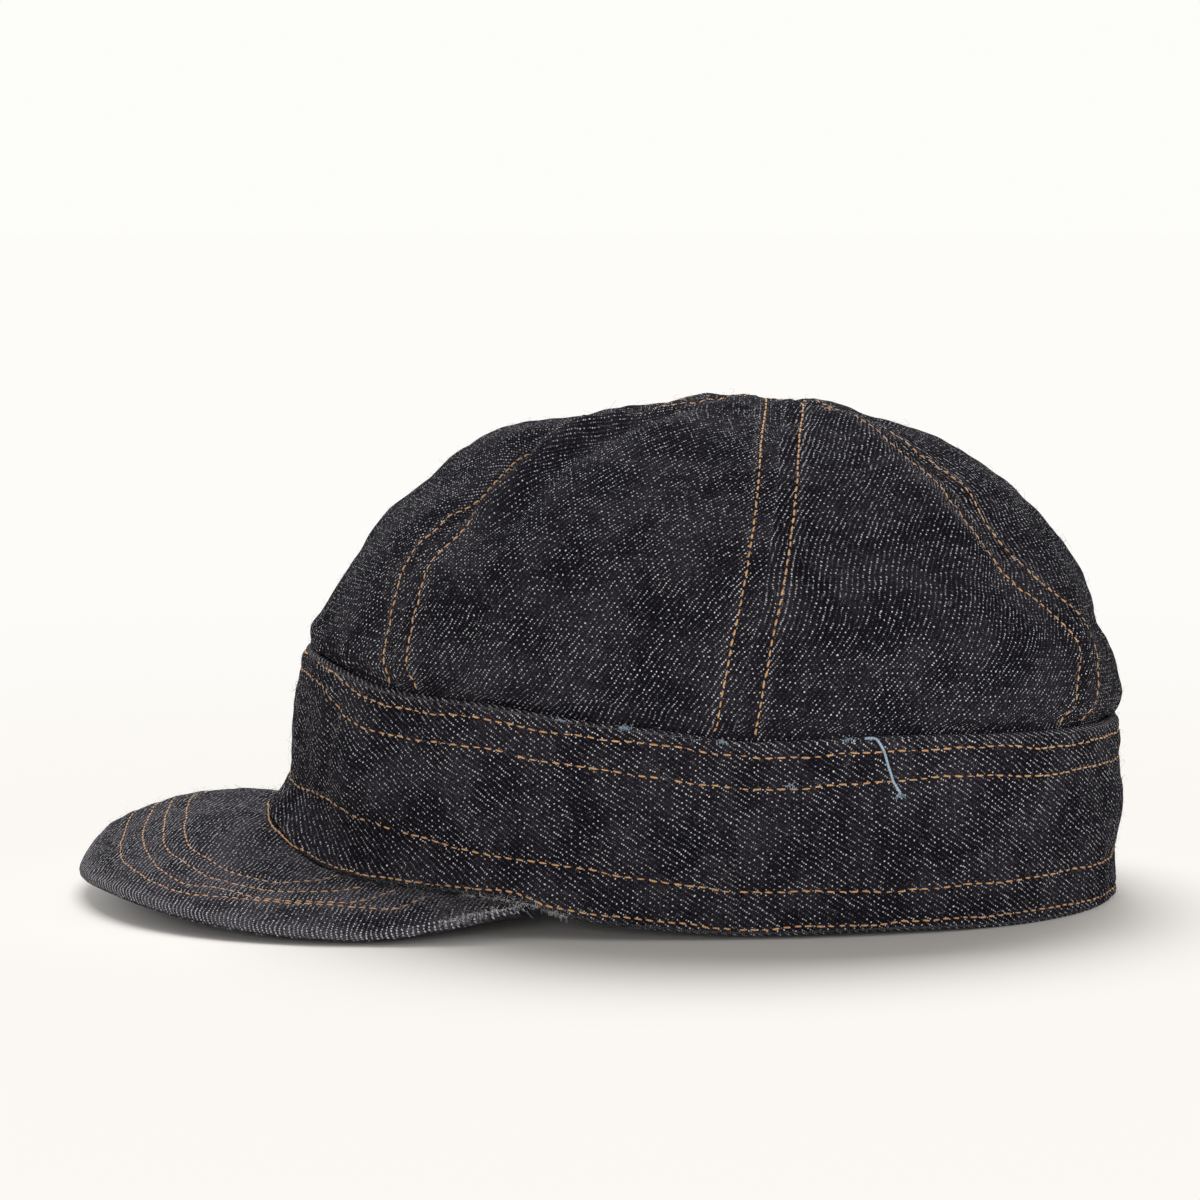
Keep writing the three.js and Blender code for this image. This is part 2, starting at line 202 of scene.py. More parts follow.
# Rows of stitching on the peak, outermost first, as places left and forward of the frame's origin
PEAK_ROWS = (
    ((0, 5, 23, 36, 47, 59, 69, 76, 71), (119, 118.8, 117.6, 113.6, 108.6, 97.6, 74.6, 52.6, 44.6)),
    ((0, 16, 28, 39, 51, 57, 64, 68, 71, 65),
     (113.5, 112.6, 110.6, 107.6, 100.6, 92.6, 83.6, 74.6, 62.6, 51.6)),
    ((0, 10, 21, 31, 43, 51, 58, 61, 63, 61), (108, 108, 107.3, 104.6, 98.6, 92.6, 83.6, 77.6, 67.6, 59.6)),
    ((0, 9, 18, 28, 37, 45, 51, 54, 53, 49),
     (102.5, 102.8, 102.4, 100.6, 95.6, 90.6, 83.6, 77.6, 70.6, 64.6)),
)
# Dents of the band: turn, height, lean from level in radians, half width, half length, lift
BAND_DENTS = (
    (20.5, 44.0, 1.35, 3.0, 13.0, -1.5),
    (27.0, 38.0, 1.2, 4.0, 14.0, 0.9),
    (46.0, 34.0, 0.35, 3.5, 12.0, -1.0),
    (67.0, 29.5, 0.6, 2.6, 6.5, -2.1),
    (74.5, 31.5, 0.7, 2.4, 5.0, -2.0),
    (69.0, 33.5, 0.55, 2.6, 9.0, 0.9),
    (78.0, 27.0, 0.5, 3.5, 8.0, 0.7),
    (112.0, 25.0, 0.2, 5.0, 16.0, -0.6),
    (-24.0, 42.0, 1.3, 4.0, 14.0, -1.1),
    (-58.0, 28.0, 0.5, 4.0, 12.0, -1.0),
    (-120.0, 26.0, -0.2, 5.0, 18.0, -0.8),
    (170.0, 24.0, 0.1, 6.0, 20.0, 0.6),
)

# Tufts of pale blue yarn along the band's upper edge: turn, height, number of strands, length
TUFTS = (
    (62.5, 51.6, 18, 1.1),
    (72.3, 50.4, 34, 1.5),
    (88.0, 47.2, 20, 1.3),
    (108.0, 47.6, 16, 1.1),
    (98.5, 36.0, 14, 1.3),
)

# Loose thread from the band's upper edge down over its rows: turn and height of each bend
LOOSE_PATH = ((110.6, 47.4), (112.4, 46.4), (113.5, 43.6), (114.1, 39.8), (114.9, 36.4), (116.0, 33.8))

# Relief of the crown's seams: the felled strip's shoulder and slope, then rows, groove and puckers
SEAM_SHOULDER = 0.6
SEAM_SLOPE = 1.1
ROW_PRESS, ROW_WIDTH = 0.32, 0.75
GROOVE_PRESS, GROOVE_WIDTH = 0.22, 0.45
PUCKER_LIFT, PUCKER_WIDTH = 0.16, 3.2

# Relief of the band: its rows, the strip between the upper two, the body below them, dents and side seams
BAND_PRESS, BAND_PRESS_WIDTH = 0.34, 0.7
BAND_PUCKER, BAND_PUCKER_WIDTH = 0.14, 2.2
STRIP_LIFT, STRIP_WIDTH = 0.3, 2.6
BODY_PUFF = 0.75
DENT_GAIN = 1.3
MM_PER_RADIAN = 88.0
SIDE_SEAM_PRESS, SIDE_SEAM_WIDTH = 0.55, 0.55

# Relief of the peak between its rows and at them
PEAK_PUFF, PEAK_PUFF_WIDTH = 0.22, 2.4
PEAK_PRESS, PEAK_PRESS_WIDTH = 0.2, 0.6

# Rings and sides of a stitch and a loose strand, and strands along each half of the frayed edge
STITCH_RINGS, STITCH_SIDES = 7, 6
STRAND_RINGS, STRAND_SIDES = 5, 3
FRAY_COUNT = 260

# Grids: rows of a gore below and above the band's edge, its columns, points along and up a band, and the peak
GORE_ROWS_HIDDEN, GORE_ROWS, GORE_COLUMNS = 7, 124, 97
BAND_COLUMNS, BAND_ROWS_UP = 330, 58
PEAK_ROWS_FLAT, PEAK_ROWS_ROUND, PEAK_COLUMNS = 66, 16, 230
NEWTON_STEPS = 6

# Stage, in metres: floor rings, lights as name, place, size and share of the softbox's power, and the camera
FLOOR_RADII = (0.3, 0.8, 1.6, 3.0, 6.0, 12.0, 30.0)
LIGHTS = (
    ("softbox", (-0.62, -0.1, 0.95), 0.8, 1.0),
    ("low fill", (1.5, -0.35, 0.22), 0.7, 0.62),
    ("side fill", (0.5, 1.2, 0.5), 0.6, 0.24),
)
LIGHT_AIM = (0, 0, 0.05)
CAMERA_PLACE = (0.99297, -0.06864, 0.16735)
CAMERA_AIM = (0.0, 0.0008, 0.0715)
CAMERA_LENS = 120.0
PAPER_NEAR, PAPER_FAR = (0.965, 0.938, 0.90), (0.985, 0.975, 0.945)
SKY_LIGHT, SKY_SEEN = (1.0, 0.95, 0.885), (0.985, 0.98, 0.95)

# Denims: lean of the twill, strength of its flecks and amount of nap
DENIMS = {
    "denim crown": (-1.0, 1.0, 1.0),
    "denim band": (1.0, 1.25, 1.0),
    "denim peak": (1.0, 2.2, 2.1),
}
# Weave in millimetres of cloth: its pitches, then the shape of a fleck and the loss on every second end
END_PITCH, PICK_PITCH = 0.335, 0.52
FLECK_WIDE, FLECK_LONG, FLECK_POWER = 0.9, 2.3, 0.5
ODD_END_LOSS = 0.82
# A fleck's luck as a power, a gain and the least of it, and what the wear and the fuzz add
LUCK_POWER, LUCK_GAIN, LUCK_LEAST = 3.8, 6.6, 0.11
WEAR_SHOWN, WEAR_SLACK, WEAR_HAZE = 0.8, 0.45, 0.7
FUZZ_HAZE, LEAST_HAZE = 0.26, 0.012
# Curls of fuzz: scale, width of a curl and shift of the pattern
CURLS = ((0.8, 0.05, 0.0), (1.3, 0.06, 17.3), (2.1, 0.07, 41.9))
CLOTH_BUMP, THREAD_BUMP = 0.00016, 0.00006
# Loose fibres in millimetres: width, and curl as a share of the length
NAP_WIDTH, NAP_CURL = 0.07, 0.6
FRAY_WIDTH, FRAY_CURL = 0.11, 0.5
TUFT_WIDTH, TUFT_CURL = 0.36, 0.3
LOOSE_WIDTH = 0.62
LOOSE_LIFT = 0.45
FRAYED_END_COUNT = 7
# Stitches of the crown, band, band's lowest row and peak against the usual stitch length, then thread widths
CROWN_PITCH, BAND_PITCH, LOW_ROW_PITCH, PEAK_PITCH = 0.84, 1.0, 0.9, 0.9
BAND_THREAD, PEAK_THREAD = 0.94, 0.85

NUMBER, COLOUR, VECTOR = "NodeSocketFloat", "NodeSocketColor", "NodeSocketVector"


def lerp(start, end, share):
    """Straight mix of two values: start at share 0, end at share 1."""
    return start + (end - start) * share


def soft_step(value):
    """Smooth step: three squares less two cubes of the value held between 0 and 1."""
    share = np.clip(value, 0.0, 1.0)
    return share * share * (3.0 - 2.0 * share)


def bell(distance, width):
    """Bell curve: e to the minus square of distance over width."""
    return np.exp(-((distance / width) ** 2))


def unit(vectors):
    """Vectors divided by their own lengths."""
    return vectors / np.maximum(np.linalg.norm(vectors, axis=-1, keepdims=True), 1e-12)


def read_table(turns, values, at):
    """Cubic Hermite curve through a table: each slope is between the neighbours, and level at both ends."""
    turns, values = np.asarray(turns, float), np.asarray(values, float)
    slopes = np.zeros(len(turns))
    slopes[1:-1] = (values[2:] - values[:-2]) / (turns[2:] - turns[:-2])
    at = np.clip(at, turns[0], turns[-1])
    i = np.clip(np.searchsorted(turns, at, side="right") - 1, 0, len(turns) - 2)
    span = turns[i + 1] - turns[i]
    u = (at - turns[i]) / span
    start = values[i] * (1 + 2 * u) * (1 - u) ** 2 + slopes[i] * span * u * (1 - u) ** 2
    return start + values[i + 1] * u * u * (3 - 2 * u) - slopes[i + 1] * span * u * u * (1 - u)


def folded_signed(turn):
    """Turn as -180 to 180 degrees."""
    return (np.asarray(turn, float) + 180.0) % 360.0 - 180.0


def folded(turn):
    """Turn from the front as 0 to 180 degrees, whichever side it is on."""
    return np.abs(folded_signed(turn))


def run_length(line):
    """Length along a line up to each of its points, from 0 at the first."""
    return np.concatenate([[0.0], np.cumsum(np.linalg.norm(np.diff(line, axis=0), axis=-1))])


def ripple(points, seed, count, shortest, longest):
    """Soft random relief: cosines of plane waves in random directions, summed and scaled to about 1."""
    rng = np.random.default_rng(seed)
    direction = unit(rng.normal(size=(count, 3)))
    length = shortest * (longest / shortest) ** rng.random(count)
    waves = direction * (2 * np.pi / length)[:, None]
    return np.cos(points @ waves.T + rng.random(count) * 2 * np.pi).sum(-1) * math.sqrt(2.0 / count)


def crumpled(place, *waves):
    """Small random dents: the sum of ripples, each given as its share, seed, count and span of lengths."""
    depth = bpy.context.scene.cap_cloth.crumple / MM
    return depth * sum(share * ripple(place, *wave) for share, *wave in waves)


def square_to(surface, a, b, step_a, step_b):
    """Normal of a surface: the cross product of its slopes along a and along b, by central differences."""
    along_a = surface(a + step_a, b) - surface(a - step_a, b)
    along_b = surface(a, b + step_b) - surface(a, b - step_b)
    return unit(np.cross(along_a, along_b))


def low_edge(turn):
    """Height of the band's lower edge, from the left or the right column of the table."""
    left, right = (read_table(BAND_TURNS, column, folded(turn)) for column in (LOW_LEFT, LOW_RIGHT))
    return np.maximum(0.0, np.where(np.sin(np.radians(turn)) < 0, right, left))


def high_edge(turn):
    """Height of the band's upper edge."""
    return read_table(BAND_TURNS, HIGH, folded(turn))


def band_share(turn, height):
    """Height as a share of the way from the band's lower edge to its upper edge."""
    return (height - low_edge(turn)) / (high_edge(turn) - low_edge(turn))


def oval_point(turn):
    """Superellipse in polar form, its power growing from front to back, as left and forward."""
    c, s = np.cos(np.radians(turn)), np.sin(np.radians(turn))
    power = lerp(OVAL_POWER_FRONT, OVAL_POWER_BACK, (1 - c) / 2)
    total = np.abs(2 * c / BAND_LENGTH) ** power + np.abs(2 * s / BAND_WIDTH) ** power
    radius = total ** (-1 / power)
    return radius * s, radius * c


def oval_offset(turn, offset):
    """The oval moved outwards by an offset square to its own line."""
    left, forward = oval_point(turn)
    left_a, forward_a = oval_point(turn - TURN_STEP)
    left_b, forward_b = oval_point(turn + TURN_STEP)
    run_left, run_forward = left_b - left_a, forward_b - forward_a
    size = np.hypot(run_left, run_forward)
    return left - offset * run_forward / size, forward + offset * run_left / size


def band_offset(turn, share):
    """How far the band stands out of the oval: flared above the peak, leaning in at its upper edge."""
    front = np.maximum(0.0, np.cos(np.radians(turn)))
    side = np.sin(np.radians(turn)) ** 2
    flare = FLARE_DEPTH * np.maximum(0.0, 1 - share / FLARE_SHARE) ** FLARE_POWER * front**1.5
    return flare - (LEAN_FRONT * front**2 + LEAN_SIDE * side) * share**3


def band_point(turn, share, inset):
    """Band at a turn and share of its height: the oval offset by the band's lean less the inset."""
    left, forward = oval_offset(turn, band_offset(turn, share) - inset)
    height = lerp(low_edge(turn), high_edge(turn), share)
    return np.stack(np.broadcast_arrays(left, BAND_MIDDLE_Y - forward, height), -1)


def band_normal(turn, share):
    """Outward normal of the bare band."""
    return square_to(lambda a, b: band_point(a, b, 0.0), turn, share, TURN_STEP, 0.01)


def arch_power(turn, up):
    """Power of a meridian's arc at a share of the way up, from the lower to the upper column of the table."""
    lower, upper = (read_table(ARCH_TURNS, column, folded(turn)) for column in (ARCH_LOWER, ARCH_UPPER))
    return lerp(lower, upper, up)


def crown_form(turn, rise):
    """Bare crown: each meridian is a superellipse arc from the band to the top, shrinking the oval."""
    turn, rise = np.broadcast_arrays(np.asarray(turn, float), np.asarray(rise, float))
    high, low = high_edge(turn), low_edge(turn)
    up = np.clip(rise, 0.0, 1.0)
    power = arch_power(turn, up)
    reach = np.cos(up * np.pi / 2) ** (2 / power)
    height = np.sin(up * np.pi / 2) ** (2 / power) * (CROWN_HEIGHT - high)
    out = soft_step(height / OVERHANG_RISE)
    back = soft_step((folded(turn) - 90) / 90)
    over = OVERHANG_SIDE * np.sin(np.radians(turn)) ** 2 + OVERHANG_BACK * back
    share = 1 + np.minimum(rise, 0.0) * SKIRT_DEPTH / (high - low)
    left, forward = oval_offset(turn, band_offset(turn, share) - TUCKED + (TUCKED + over) * out)
    y = TOP_Y + (BAND_MIDDLE_Y - forward - TOP_Y) * reach
    return np.stack([left * reach, y, lerp(low, high, share) + height], -1)


def crown_plan(turn, rise):
    """Place on the bare crown in plan, measured from the top."""
    return crown_form(turn, rise)[..., :2] - (0.0, TOP_Y)


def crown_normal(turn, rise):
    """Outward normal of the bare crown, with a step that stays short of the top."""
    step = np.minimum(RISE_STEP, (1 - rise) / 2)
    return square_to(crown_form, turn, rise, TURN_STEP, step)


def seam_turn(k, rise):
    """Turn of a crown seam: the parabola through its turns at foot, middle and top, plus its sway."""
    k %= len(GORES)
    _, foot, middle, top = GORES[k]
    r = np.clip(rise, 0.0, 1.0)
    turn = foot * (1 - r) * (1 - 2 * r) + top * r * (2 * r - 1) + middle * 4 * r * (1 - r)
    return turn + read_table(*SEAM_SWAY[k], r) if k in SEAM_SWAY else turn


def gore_span(k, rise):
    """Turns of a gore's two seams, the second one always the larger."""
    start, end = seam_turn(k, rise), seam_turn(k + 1, rise)
    return start, np.where(end < start, end + 360.0, end)


def across_gore(turn, rise):
    """Share of the way from a gore's seam to the next, for whichever gore the place is in."""
    across = np.zeros(np.broadcast(turn, rise).shape)
    for k in range(len(GORES)):
        start, end = gore_span(k, rise)
        share = ((turn - start) % 360.0) / (end - start)
        across = np.where(share < 1, share, across)
    return across


def seam_distance(place, rise, k):
    """Distance in plan from a seam's own ray out of the crown's top, or from the top beyond it."""
    ray = unit(crown_plan(seam_turn(k, rise), rise))
    arm = place[..., :2] - (0.0, TOP_Y)
    side = arm[..., 0] * ray[..., 1] - arm[..., 1] * ray[..., 0]
    ahead = (arm * ray).sum(-1)
    return np.where(ahead > 0, np.abs(side), np.linalg.norm(arm, axis=-1))


def fold_relief(place, rows):
    """Sum over fold lines of lift times a bell of the distance to the nearest of points along the line."""
    relief = np.zeros(place.shape[:-1])
    for turns, rises, width, lift in rows:
        bends = np.arange(len(turns))
        along = np.linspace(0, bends[-1], 9 + 3 * bends[-1])
        spots = crown_form(np.interp(along, bends, turns), np.interp(along, bends, rises))
        nearest = np.min([np.linalg.norm(place - spot, axis=-1) for spot in spots], axis=0)
        relief += lift * bell(nearest, width)
    return relief


def crown_relief(turn, rise, place):
    """Lift of the finished cloth above the bare crown, fading out below the band's edge, and its wear."""
    look = bpy.context.scene.cap_cloth
    across = across_gore(turn, rise)
    puff = PANEL_PUFF * np.sin(np.pi * across) * np.sin(np.pi * np.clip(rise, 0.0, 1.0)) ** PUFF_POWER
    relief = puff + fold_relief(place, CROWN_FOLDS) + fold_relief(place, CROWN_CREASES)
    half = look.seam_width / MM / 2
    apart = np.min([seam_distance(place, rise, k) for k in range(len(GORES))], axis=0)
    plateau = 1 - soft_step((apart - half - SEAM_SHOULDER) / SEAM_SLOPE)
    row = bell(apart - half, ROW_WIDTH)
    relief += look.seam_lift / MM * plateau - ROW_PRESS * row - GROOVE_PRESS * bell(apart, GROOVE_WIDTH)
    relief += PUCKER_LIFT * ripple(place, 11, 20, 4.0, 9.0) * bell(apart - half, PUCKER_WIDTH)
    relief += crumpled(place, (1.0, 3, 26, 14.0, 46.0), (0.35, 5, 30, 5.0, 11.0))
    wear = 0.5 * bell(apart - half - 1.2, 0.8) + 0.35 * bell(apart, 0.6)
    return relief * soft_step(rise / FADE_RISE), wear


def crown_skin(turn, rise):
    """Finished outer face of the crown: the bare form moved along its normal by the relief."""
    turn, rise = np.broadcast_arrays(np.asarray(turn, float), np.asarray(rise, float))
    place = crown_form(turn, rise)
    relief, _ = crown_relief(turn, rise, place)
    return place + crown_normal(turn, rise) * relief[..., None]


def band_row_height(k, turn):
    """Height of one of the band's rows of stitching, with a slight unevenness of the hand."""
    turns, heights = BAND_ROWS[k]
    sway = 0.18 * np.sin(np.radians(turn) * 17 + k) + 0.12 * np.sin(np.radians(turn) * 41 + 2 * k)
    return read_table(turns, heights, folded(turn)) + sway


def band_relief(turn, share):
    """Lift of the band's cloth, pressed in at each row, puffed between, dented and puckered, and its wear."""
    place = band_point(turn, share, 0.0)
    height = place[..., 2]
    rows = [band_row_height(k, turn) for k in range(len(BAND_ROWS))]
    pinch = sum(bell(height - row, BAND_PRESS_WIDTH) for row in rows)
    near = sum(bell(height - row, BAND_PUCKER_WIDTH) for row in rows)
    strip = bell(height - (rows[0] + rows[1]) / 2, STRIP_WIDTH)
    body = np.clip((height - rows[2]) / np.maximum(rows[1] - rows[2], 1.0), 0, 1)
    relief = STRIP_LIFT * strip + BODY_PUFF * np.sin(np.pi * body) - BAND_PRESS * pinch
    relief += BAND_PUCKER * ripple(place, 21, 20, 3.5, 8.0) * near
    relief += crumpled(place, (1.2, 23, 24, 16.0, 42.0), (0.35, 25, 30, 5.0, 11.0))
    for at, level, lean, width, length, lift in BAND_DENTS:
        run = np.radians(folded_signed(turn) - at) * MM_PER_RADIAN
        tall = height - level
        along = run * math.cos(lean) + tall * math.sin(lean)
        beside = -run * math.sin(lean) + tall * math.cos(lean)
        relief += DENT_GAIN * lift * bell(along, length) * bell(beside, width)
    seam = np.minimum(np.abs(folded(turn) - 90.0) * 1.45, 9.0)
    relief -= SIDE_SEAM_PRESS * bell(seam, SIDE_SEAM_WIDTH)
    fade = soft_step(share / 0.03) * soft_step((1 - share) / 0.03)
    wear = 0.6 * bell((1 - share) * 40, 1.6) + 0.4 * bell(share * 40, 1.4) + 0.35 * bell(seam, 0.9)
    return relief * fade, wear


def band_skin(turn, share):
    """Finished outer face of the band: its form moved outwards in plan by the relief."""
    turn, share = np.broadcast_arrays(np.asarray(turn, float), np.asarray(share, float))
    relief, _ = band_relief(turn, share)
    return band_point(turn, share, -relief)


def peak_form(turn, out):
    """Top of the bare peak: straight in plan from the band's edge to the rim's oval, drooping by a power."""
    turn, out = np.broadcast_arrays(np.asarray(turn, float), np.asarray(out, float))
    rim_turn = turn * PEAK_RIM_END
    seam = band_point(turn * PEAK_END_TURN, 0.0, BAND_THICKNESS)
    rim_x = PEAK_RIM_WIDTH * np.sin(np.radians(rim_turn))
    rim_y = BAND_MIDDLE_Y - PEAK_RIM_MIDDLE - PEAK_RIM_LENGTH * np.cos(np.radians(rim_turn))
    rim_z = read_table(RIM_TURNS, RIM_LOW, np.abs(rim_turn)) + PEAK_THICKNESS
    x, y = lerp(seam[..., 0], rim_x, out), lerp(seam[..., 1], rim_y, out)
    away = np.hypot(x - BUCKLE_AT[0], y - BUCKLE_AT[1])
    lift = BUCKLE_LIFT * bell(away, BUCKLE_WIDTH) * np.sin(np.pi * np.clip(out, 0, 1) ** 0.8)
    lift = lift + FAR_LIFT * bell(np.hypot(x - FAR_LIFT_AT[0], y - FAR_LIFT_AT[1]), FAR_LIFT_WIDTH)
    z = lerp(seam[..., 2] - 0.3, rim_z, np.clip(out, 0, 1) ** PEAK_DROOP) + lift
    return np.stack([x, y, z], -1)


def peak_normal(turn, out):
    """Upward normal of the bare peak, turning plumb at its two ends."""
    a, b = np.clip(turn, -0.95, 0.95), np.clip(out, 0.05, 0.95)
    normal = -square_to(peak_form, a, b, 0.05, 0.05)
    plumb = soft_step((np.abs(turn) - PEAK_END_SHARE) / (1 - PEAK_END_SHARE))[..., None]
    return unit(lerp(normal, np.array([0.0, 0.0, 1.0]), plumb))


def peak_row_points(k):
    """Places in plan of one of the peak's rows: a smooth curve through its points, mirrored to the right."""
    left, forward = (np.asarray(v, float) for v in PEAK_ROWS[k])
    length = np.r_[0, np.cumsum(np.hypot(np.diff(left), np.diff(forward)))]
    fine = np.linspace(0, length[-1], 160)
    x, y = read_table(length, left, fine), -read_table(length, forward, fine)
    return np.concatenate([np.stack([-x[:0:-1], y[:0:-1]], -1), np.stack([x, y], -1)])


def peak_row_distance(place):
    """Distance in plan to the nearest of the peak's rows of stitching."""
    flat = place[..., :2].reshape(-1, 2)
    nearest = np.full(len(flat), 1e9)
    for k in range(len(PEAK_ROWS)):
        for spots in np.array_split(peak_row_points(k), 12):
            apart = np.linalg.norm(flat[:, None] - spots[None], axis=-1).min(1)
            nearest = np.minimum(nearest, apart)
    return nearest.reshape(place.shape[:-1])


def peak_relief(place, out):
    """Lift of the peak's top cloth: pressed in at each row, puffed between, and its wear at the rim."""
    apart = peak_row_distance(place)
    relief = PEAK_PUFF * soft_step(apart / PEAK_PUFF_WIDTH) - PEAK_PRESS * bell(apart, PEAK_PRESS_WIDTH)
    relief += crumpled(place, (0.8, 33, 24, 14.0, 40.0), (0.25, 35, 30, 4.0, 9.0))
    wear = 1.1 * bell((1 - out) * 45, 3.0) + 0.25 * bell(apart - 1.4, 1.0)
    return relief * soft_step(out / 0.05) * soft_step((1 - out) / 0.04), wear


def peak_skin(turn, out):
    """Finished top face of the peak: the bare form moved along its normal by the relief."""
    place = peak_form(turn, out)
    relief, _ = peak_relief(place, out)
    return place + peak_normal(turn, out) * relief[..., None]


def grid_quads(rows, columns):
    """Quads of a grid whose points are numbered row by row, facing the way that column crosses row."""
    a = (np.arange(rows - 1)[:, None] * columns + np.arange(columns - 1)[None]).reshape(-1)
    return np.stack([a, a + 1, a + 1 + columns, a + columns], -1)


def rim_quads(rows, columns):
    """Quads that close the four sides between an outer grid and an inner one that follows it."""
    inner = rows * columns
    r, c = np.arange(rows - 1) * columns, np.arange(columns - 1)
    last, top = columns - 1, (rows - 1) * columns
    left = np.stack([r, r + columns, r + columns + inner, r + inner], -1)
    right = np.stack([r + last, r + last + inner, r + last + columns + inner, r + last + columns], -1)
    low = np.stack([c, c + inner, c + 1 + inner, c + 1], -1)
    high = np.stack([c + top, c + top + 1, c + top + 1 + inner, c + top + inner], -1)
    return np.concatenate([left, right, low, high])


def ring_faces(count, rings, sides, flip=False):
    """Faces of closed tubes numbered ring by ring: quads from ring to ring, then a cap on the two ends."""
    ring = np.arange(sides)
    a = (np.arange(rings - 1)[:, None] * sides + ring[None]).reshape(-1)
    b = (np.arange(rings - 1)[:, None] * sides + (ring[None] + 1) % sides).reshape(-1)
    quads = np.stack([a, a + sides, b + sides, b] if flip else [a, b, b + sides, a + sides], -1)
    base = (np.arange(count) * rings * sides)[:, None, None]
    first, last = (ring, ring[::-1]) if flip else (ring[::-1], ring)
    faces = (quads[None] + base).reshape(-1, 4).tolist()
    faces += (first[None] + base[:, 0]).tolist()
    return faces + (last[None] + (rings - 1) * sides + base[:, 0]).tolist()


def tubes(line, side, over, girth, along, sides, squash=1.0, whole=2 * np.pi):
    """Closed tubes: rings of points round each line, at side times cosine plus over times sine of the angle,
    with flat places by the length along and the turn round."""
    angle = np.arange(sides) * 2 * np.pi / sides
    c, s = np.cos(angle)[:, None], np.sin(angle)[:, None]
    around = side[..., None, :] * c + over[..., None, :] * s * squash
    points = line[:, :, None] + around * girth
    flat = np.stack(np.broadcast_arrays(along, angle / whole), -1)
    return points.reshape(-1, 3), ring_faces(*line.shape[:2], sides), flat.reshape(-1, 2)


def make_piece(name, points, faces, uv, material, wear=None, sharp=None):
    """A mesh object from points in millimetres, faces as point numbers, and a flat place for each point."""
    mesh = bpy.data.meshes.new(name)
    mesh.from_pydata((points * MM).tolist(), [], [list(face) for face in faces])
    mesh.polygons.foreach_set("use_smooth", np.ones(len(mesh.polygons), bool))
    corner = np.zeros(len(mesh.loops), np.int32)
    mesh.loops.foreach_get("vertex_index", corner)
    layer = mesh.uv_layers.new(name="cloth")
    layer.uv.foreach_set("vector", uv[corner].astype(np.float32).ravel())
    if wear is not None:
        mesh.attributes.new("wear", "FLOAT", "POINT").data.foreach_set("value", wear.astype(np.float32))
    if sharp:
        mesh.set_sharp_from_angle(angle=math.radians(sharp))
    mesh.materials.append(material)
    piece = bpy.data.objects.new(name, mesh)
    bpy.context.scene.collection.objects.link(piece)
    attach(piece, "root")
    return piece


def make_shell(name, outer, inner, uv, wear, material, uv_inner=None):
    """A closed shell between an outer and an inner grid of points, both rows by columns."""
    uv_inner = uv if uv_inner is None else uv_inner
    rows, columns = outer.shape[:2]
    points = np.concatenate([outer.reshape(-1, 3), inner.reshape(-1, 3)])
    front = grid_quads(rows, columns)
    back = front[:, ::-1] + rows * columns
    faces = np.concatenate([front, back, rim_quads(rows, columns)])
    flat = np.concatenate([uv.reshape(-1, 2), uv_inner.reshape(-1, 2)])
    worn = np.concatenate([wear.ravel(), 0.0 * wear.ravel()])
    return make_piece(name, points, faces, flat, material, worn, 50)


def length_setting(name, description, default):
    """A length in metres as a setting."""
    return FloatProperty(name=name, description=description, default=default, unit="LENGTH")


def colour_setting(name, description, default):
    """A colour as a setting."""
    return FloatVectorProperty(name=name, description=description, default=default, subtype="COLOR")


class CapCloth(bpy.types.PropertyGroup):
    """Depths of the cloth's own relief."""

    crumple: length_setting("Crumple", "Depth of the small random dents", 0.00036)
    seam_width: length_setting("Seam width", "Distance between a seam's two rows", 0.009)
    seam_lift: length_setting("Seam lift", "Height of a felled seam above the cloth", 0.0004)
    nap_length: length_setting("Nap length", "Length of a loose fibre", 0.0018)
    nap_count: IntProperty(name="Nap count", description="Number of loose fibres", default=9000)


class CapColours(bpy.types.PropertyGroup):
    """Colours of the yarns."""

    warp: colour_setting("Warp", "Dyed yarn that shows most", (0.0066, 0.0058, 0.0118))
    weft: colour_setting("Weft", "Pale yarn that shows as flecks", (0.90, 0.91, 0.94))
    nap: colour_setting("Nap", "Grey fuzz over the cloth", (0.130, 0.119, 0.142))
    thread: colour_setting("Thread", "Sewing thread", (0.96, 0.51, 0.205))
    loose: colour_setting("Loose thread", "Loose thread and tufts", (0.50, 0.67, 0.84))


class CapSewing(bpy.types.PropertyGroup):
    """Sizes of the stitches."""

    pitch: length_setting("Stitch length", "From one stitch to the next", 0.0029)
    thread_width: length_setting("Thread width", "Width of the sewing thread", 0.0005)


class CapStage(bpy.types.PropertyGroup):
    """Light and floor."""

    sky: FloatProperty(name="Sky", description="Strength of the light from all round", default=0.24)
    softbox: FloatProperty(
        name="Softbox", description="Power of the large soft light", default=14.1, subtype="POWER"
    )
    floor: colour_setting("Floor", "Colour of the floor", (0.945, 0.925, 0.905))


def add_node(tree, kind, **settings):
    """A node of a tree with settings, whose inputs are given as numbers, colours or sockets in a dict."""
    inputs = settings.pop("inputs", {})
    node = tree.nodes.new(kind)
    for name, value in settings.items():
        setattr(node, name, value)
    for name, value in inputs.items():
        if isinstance(value, bpy.types.NodeSocket):
            tree.links.new(value, node.inputs[name])
        else:
            node.inputs[name].default_value = value
    return node


def math_node(tree, operation, *values, clamp=False):
    """Output of a Math node whose inputs are numbers or sockets."""
    return add_node(
        tree, "ShaderNodeMath", operation=operation, use_clamp=clamp, inputs=dict(enumerate(values))
    ).outputs[0]


def vector_node(tree, operation, *values):
    """Output of a Vector Math node whose inputs are vectors or sockets."""
    return add_node(
        tree, "ShaderNodeVectorMath", operation=operation, inputs=dict(enumerate(values))
    ).outputs[0]


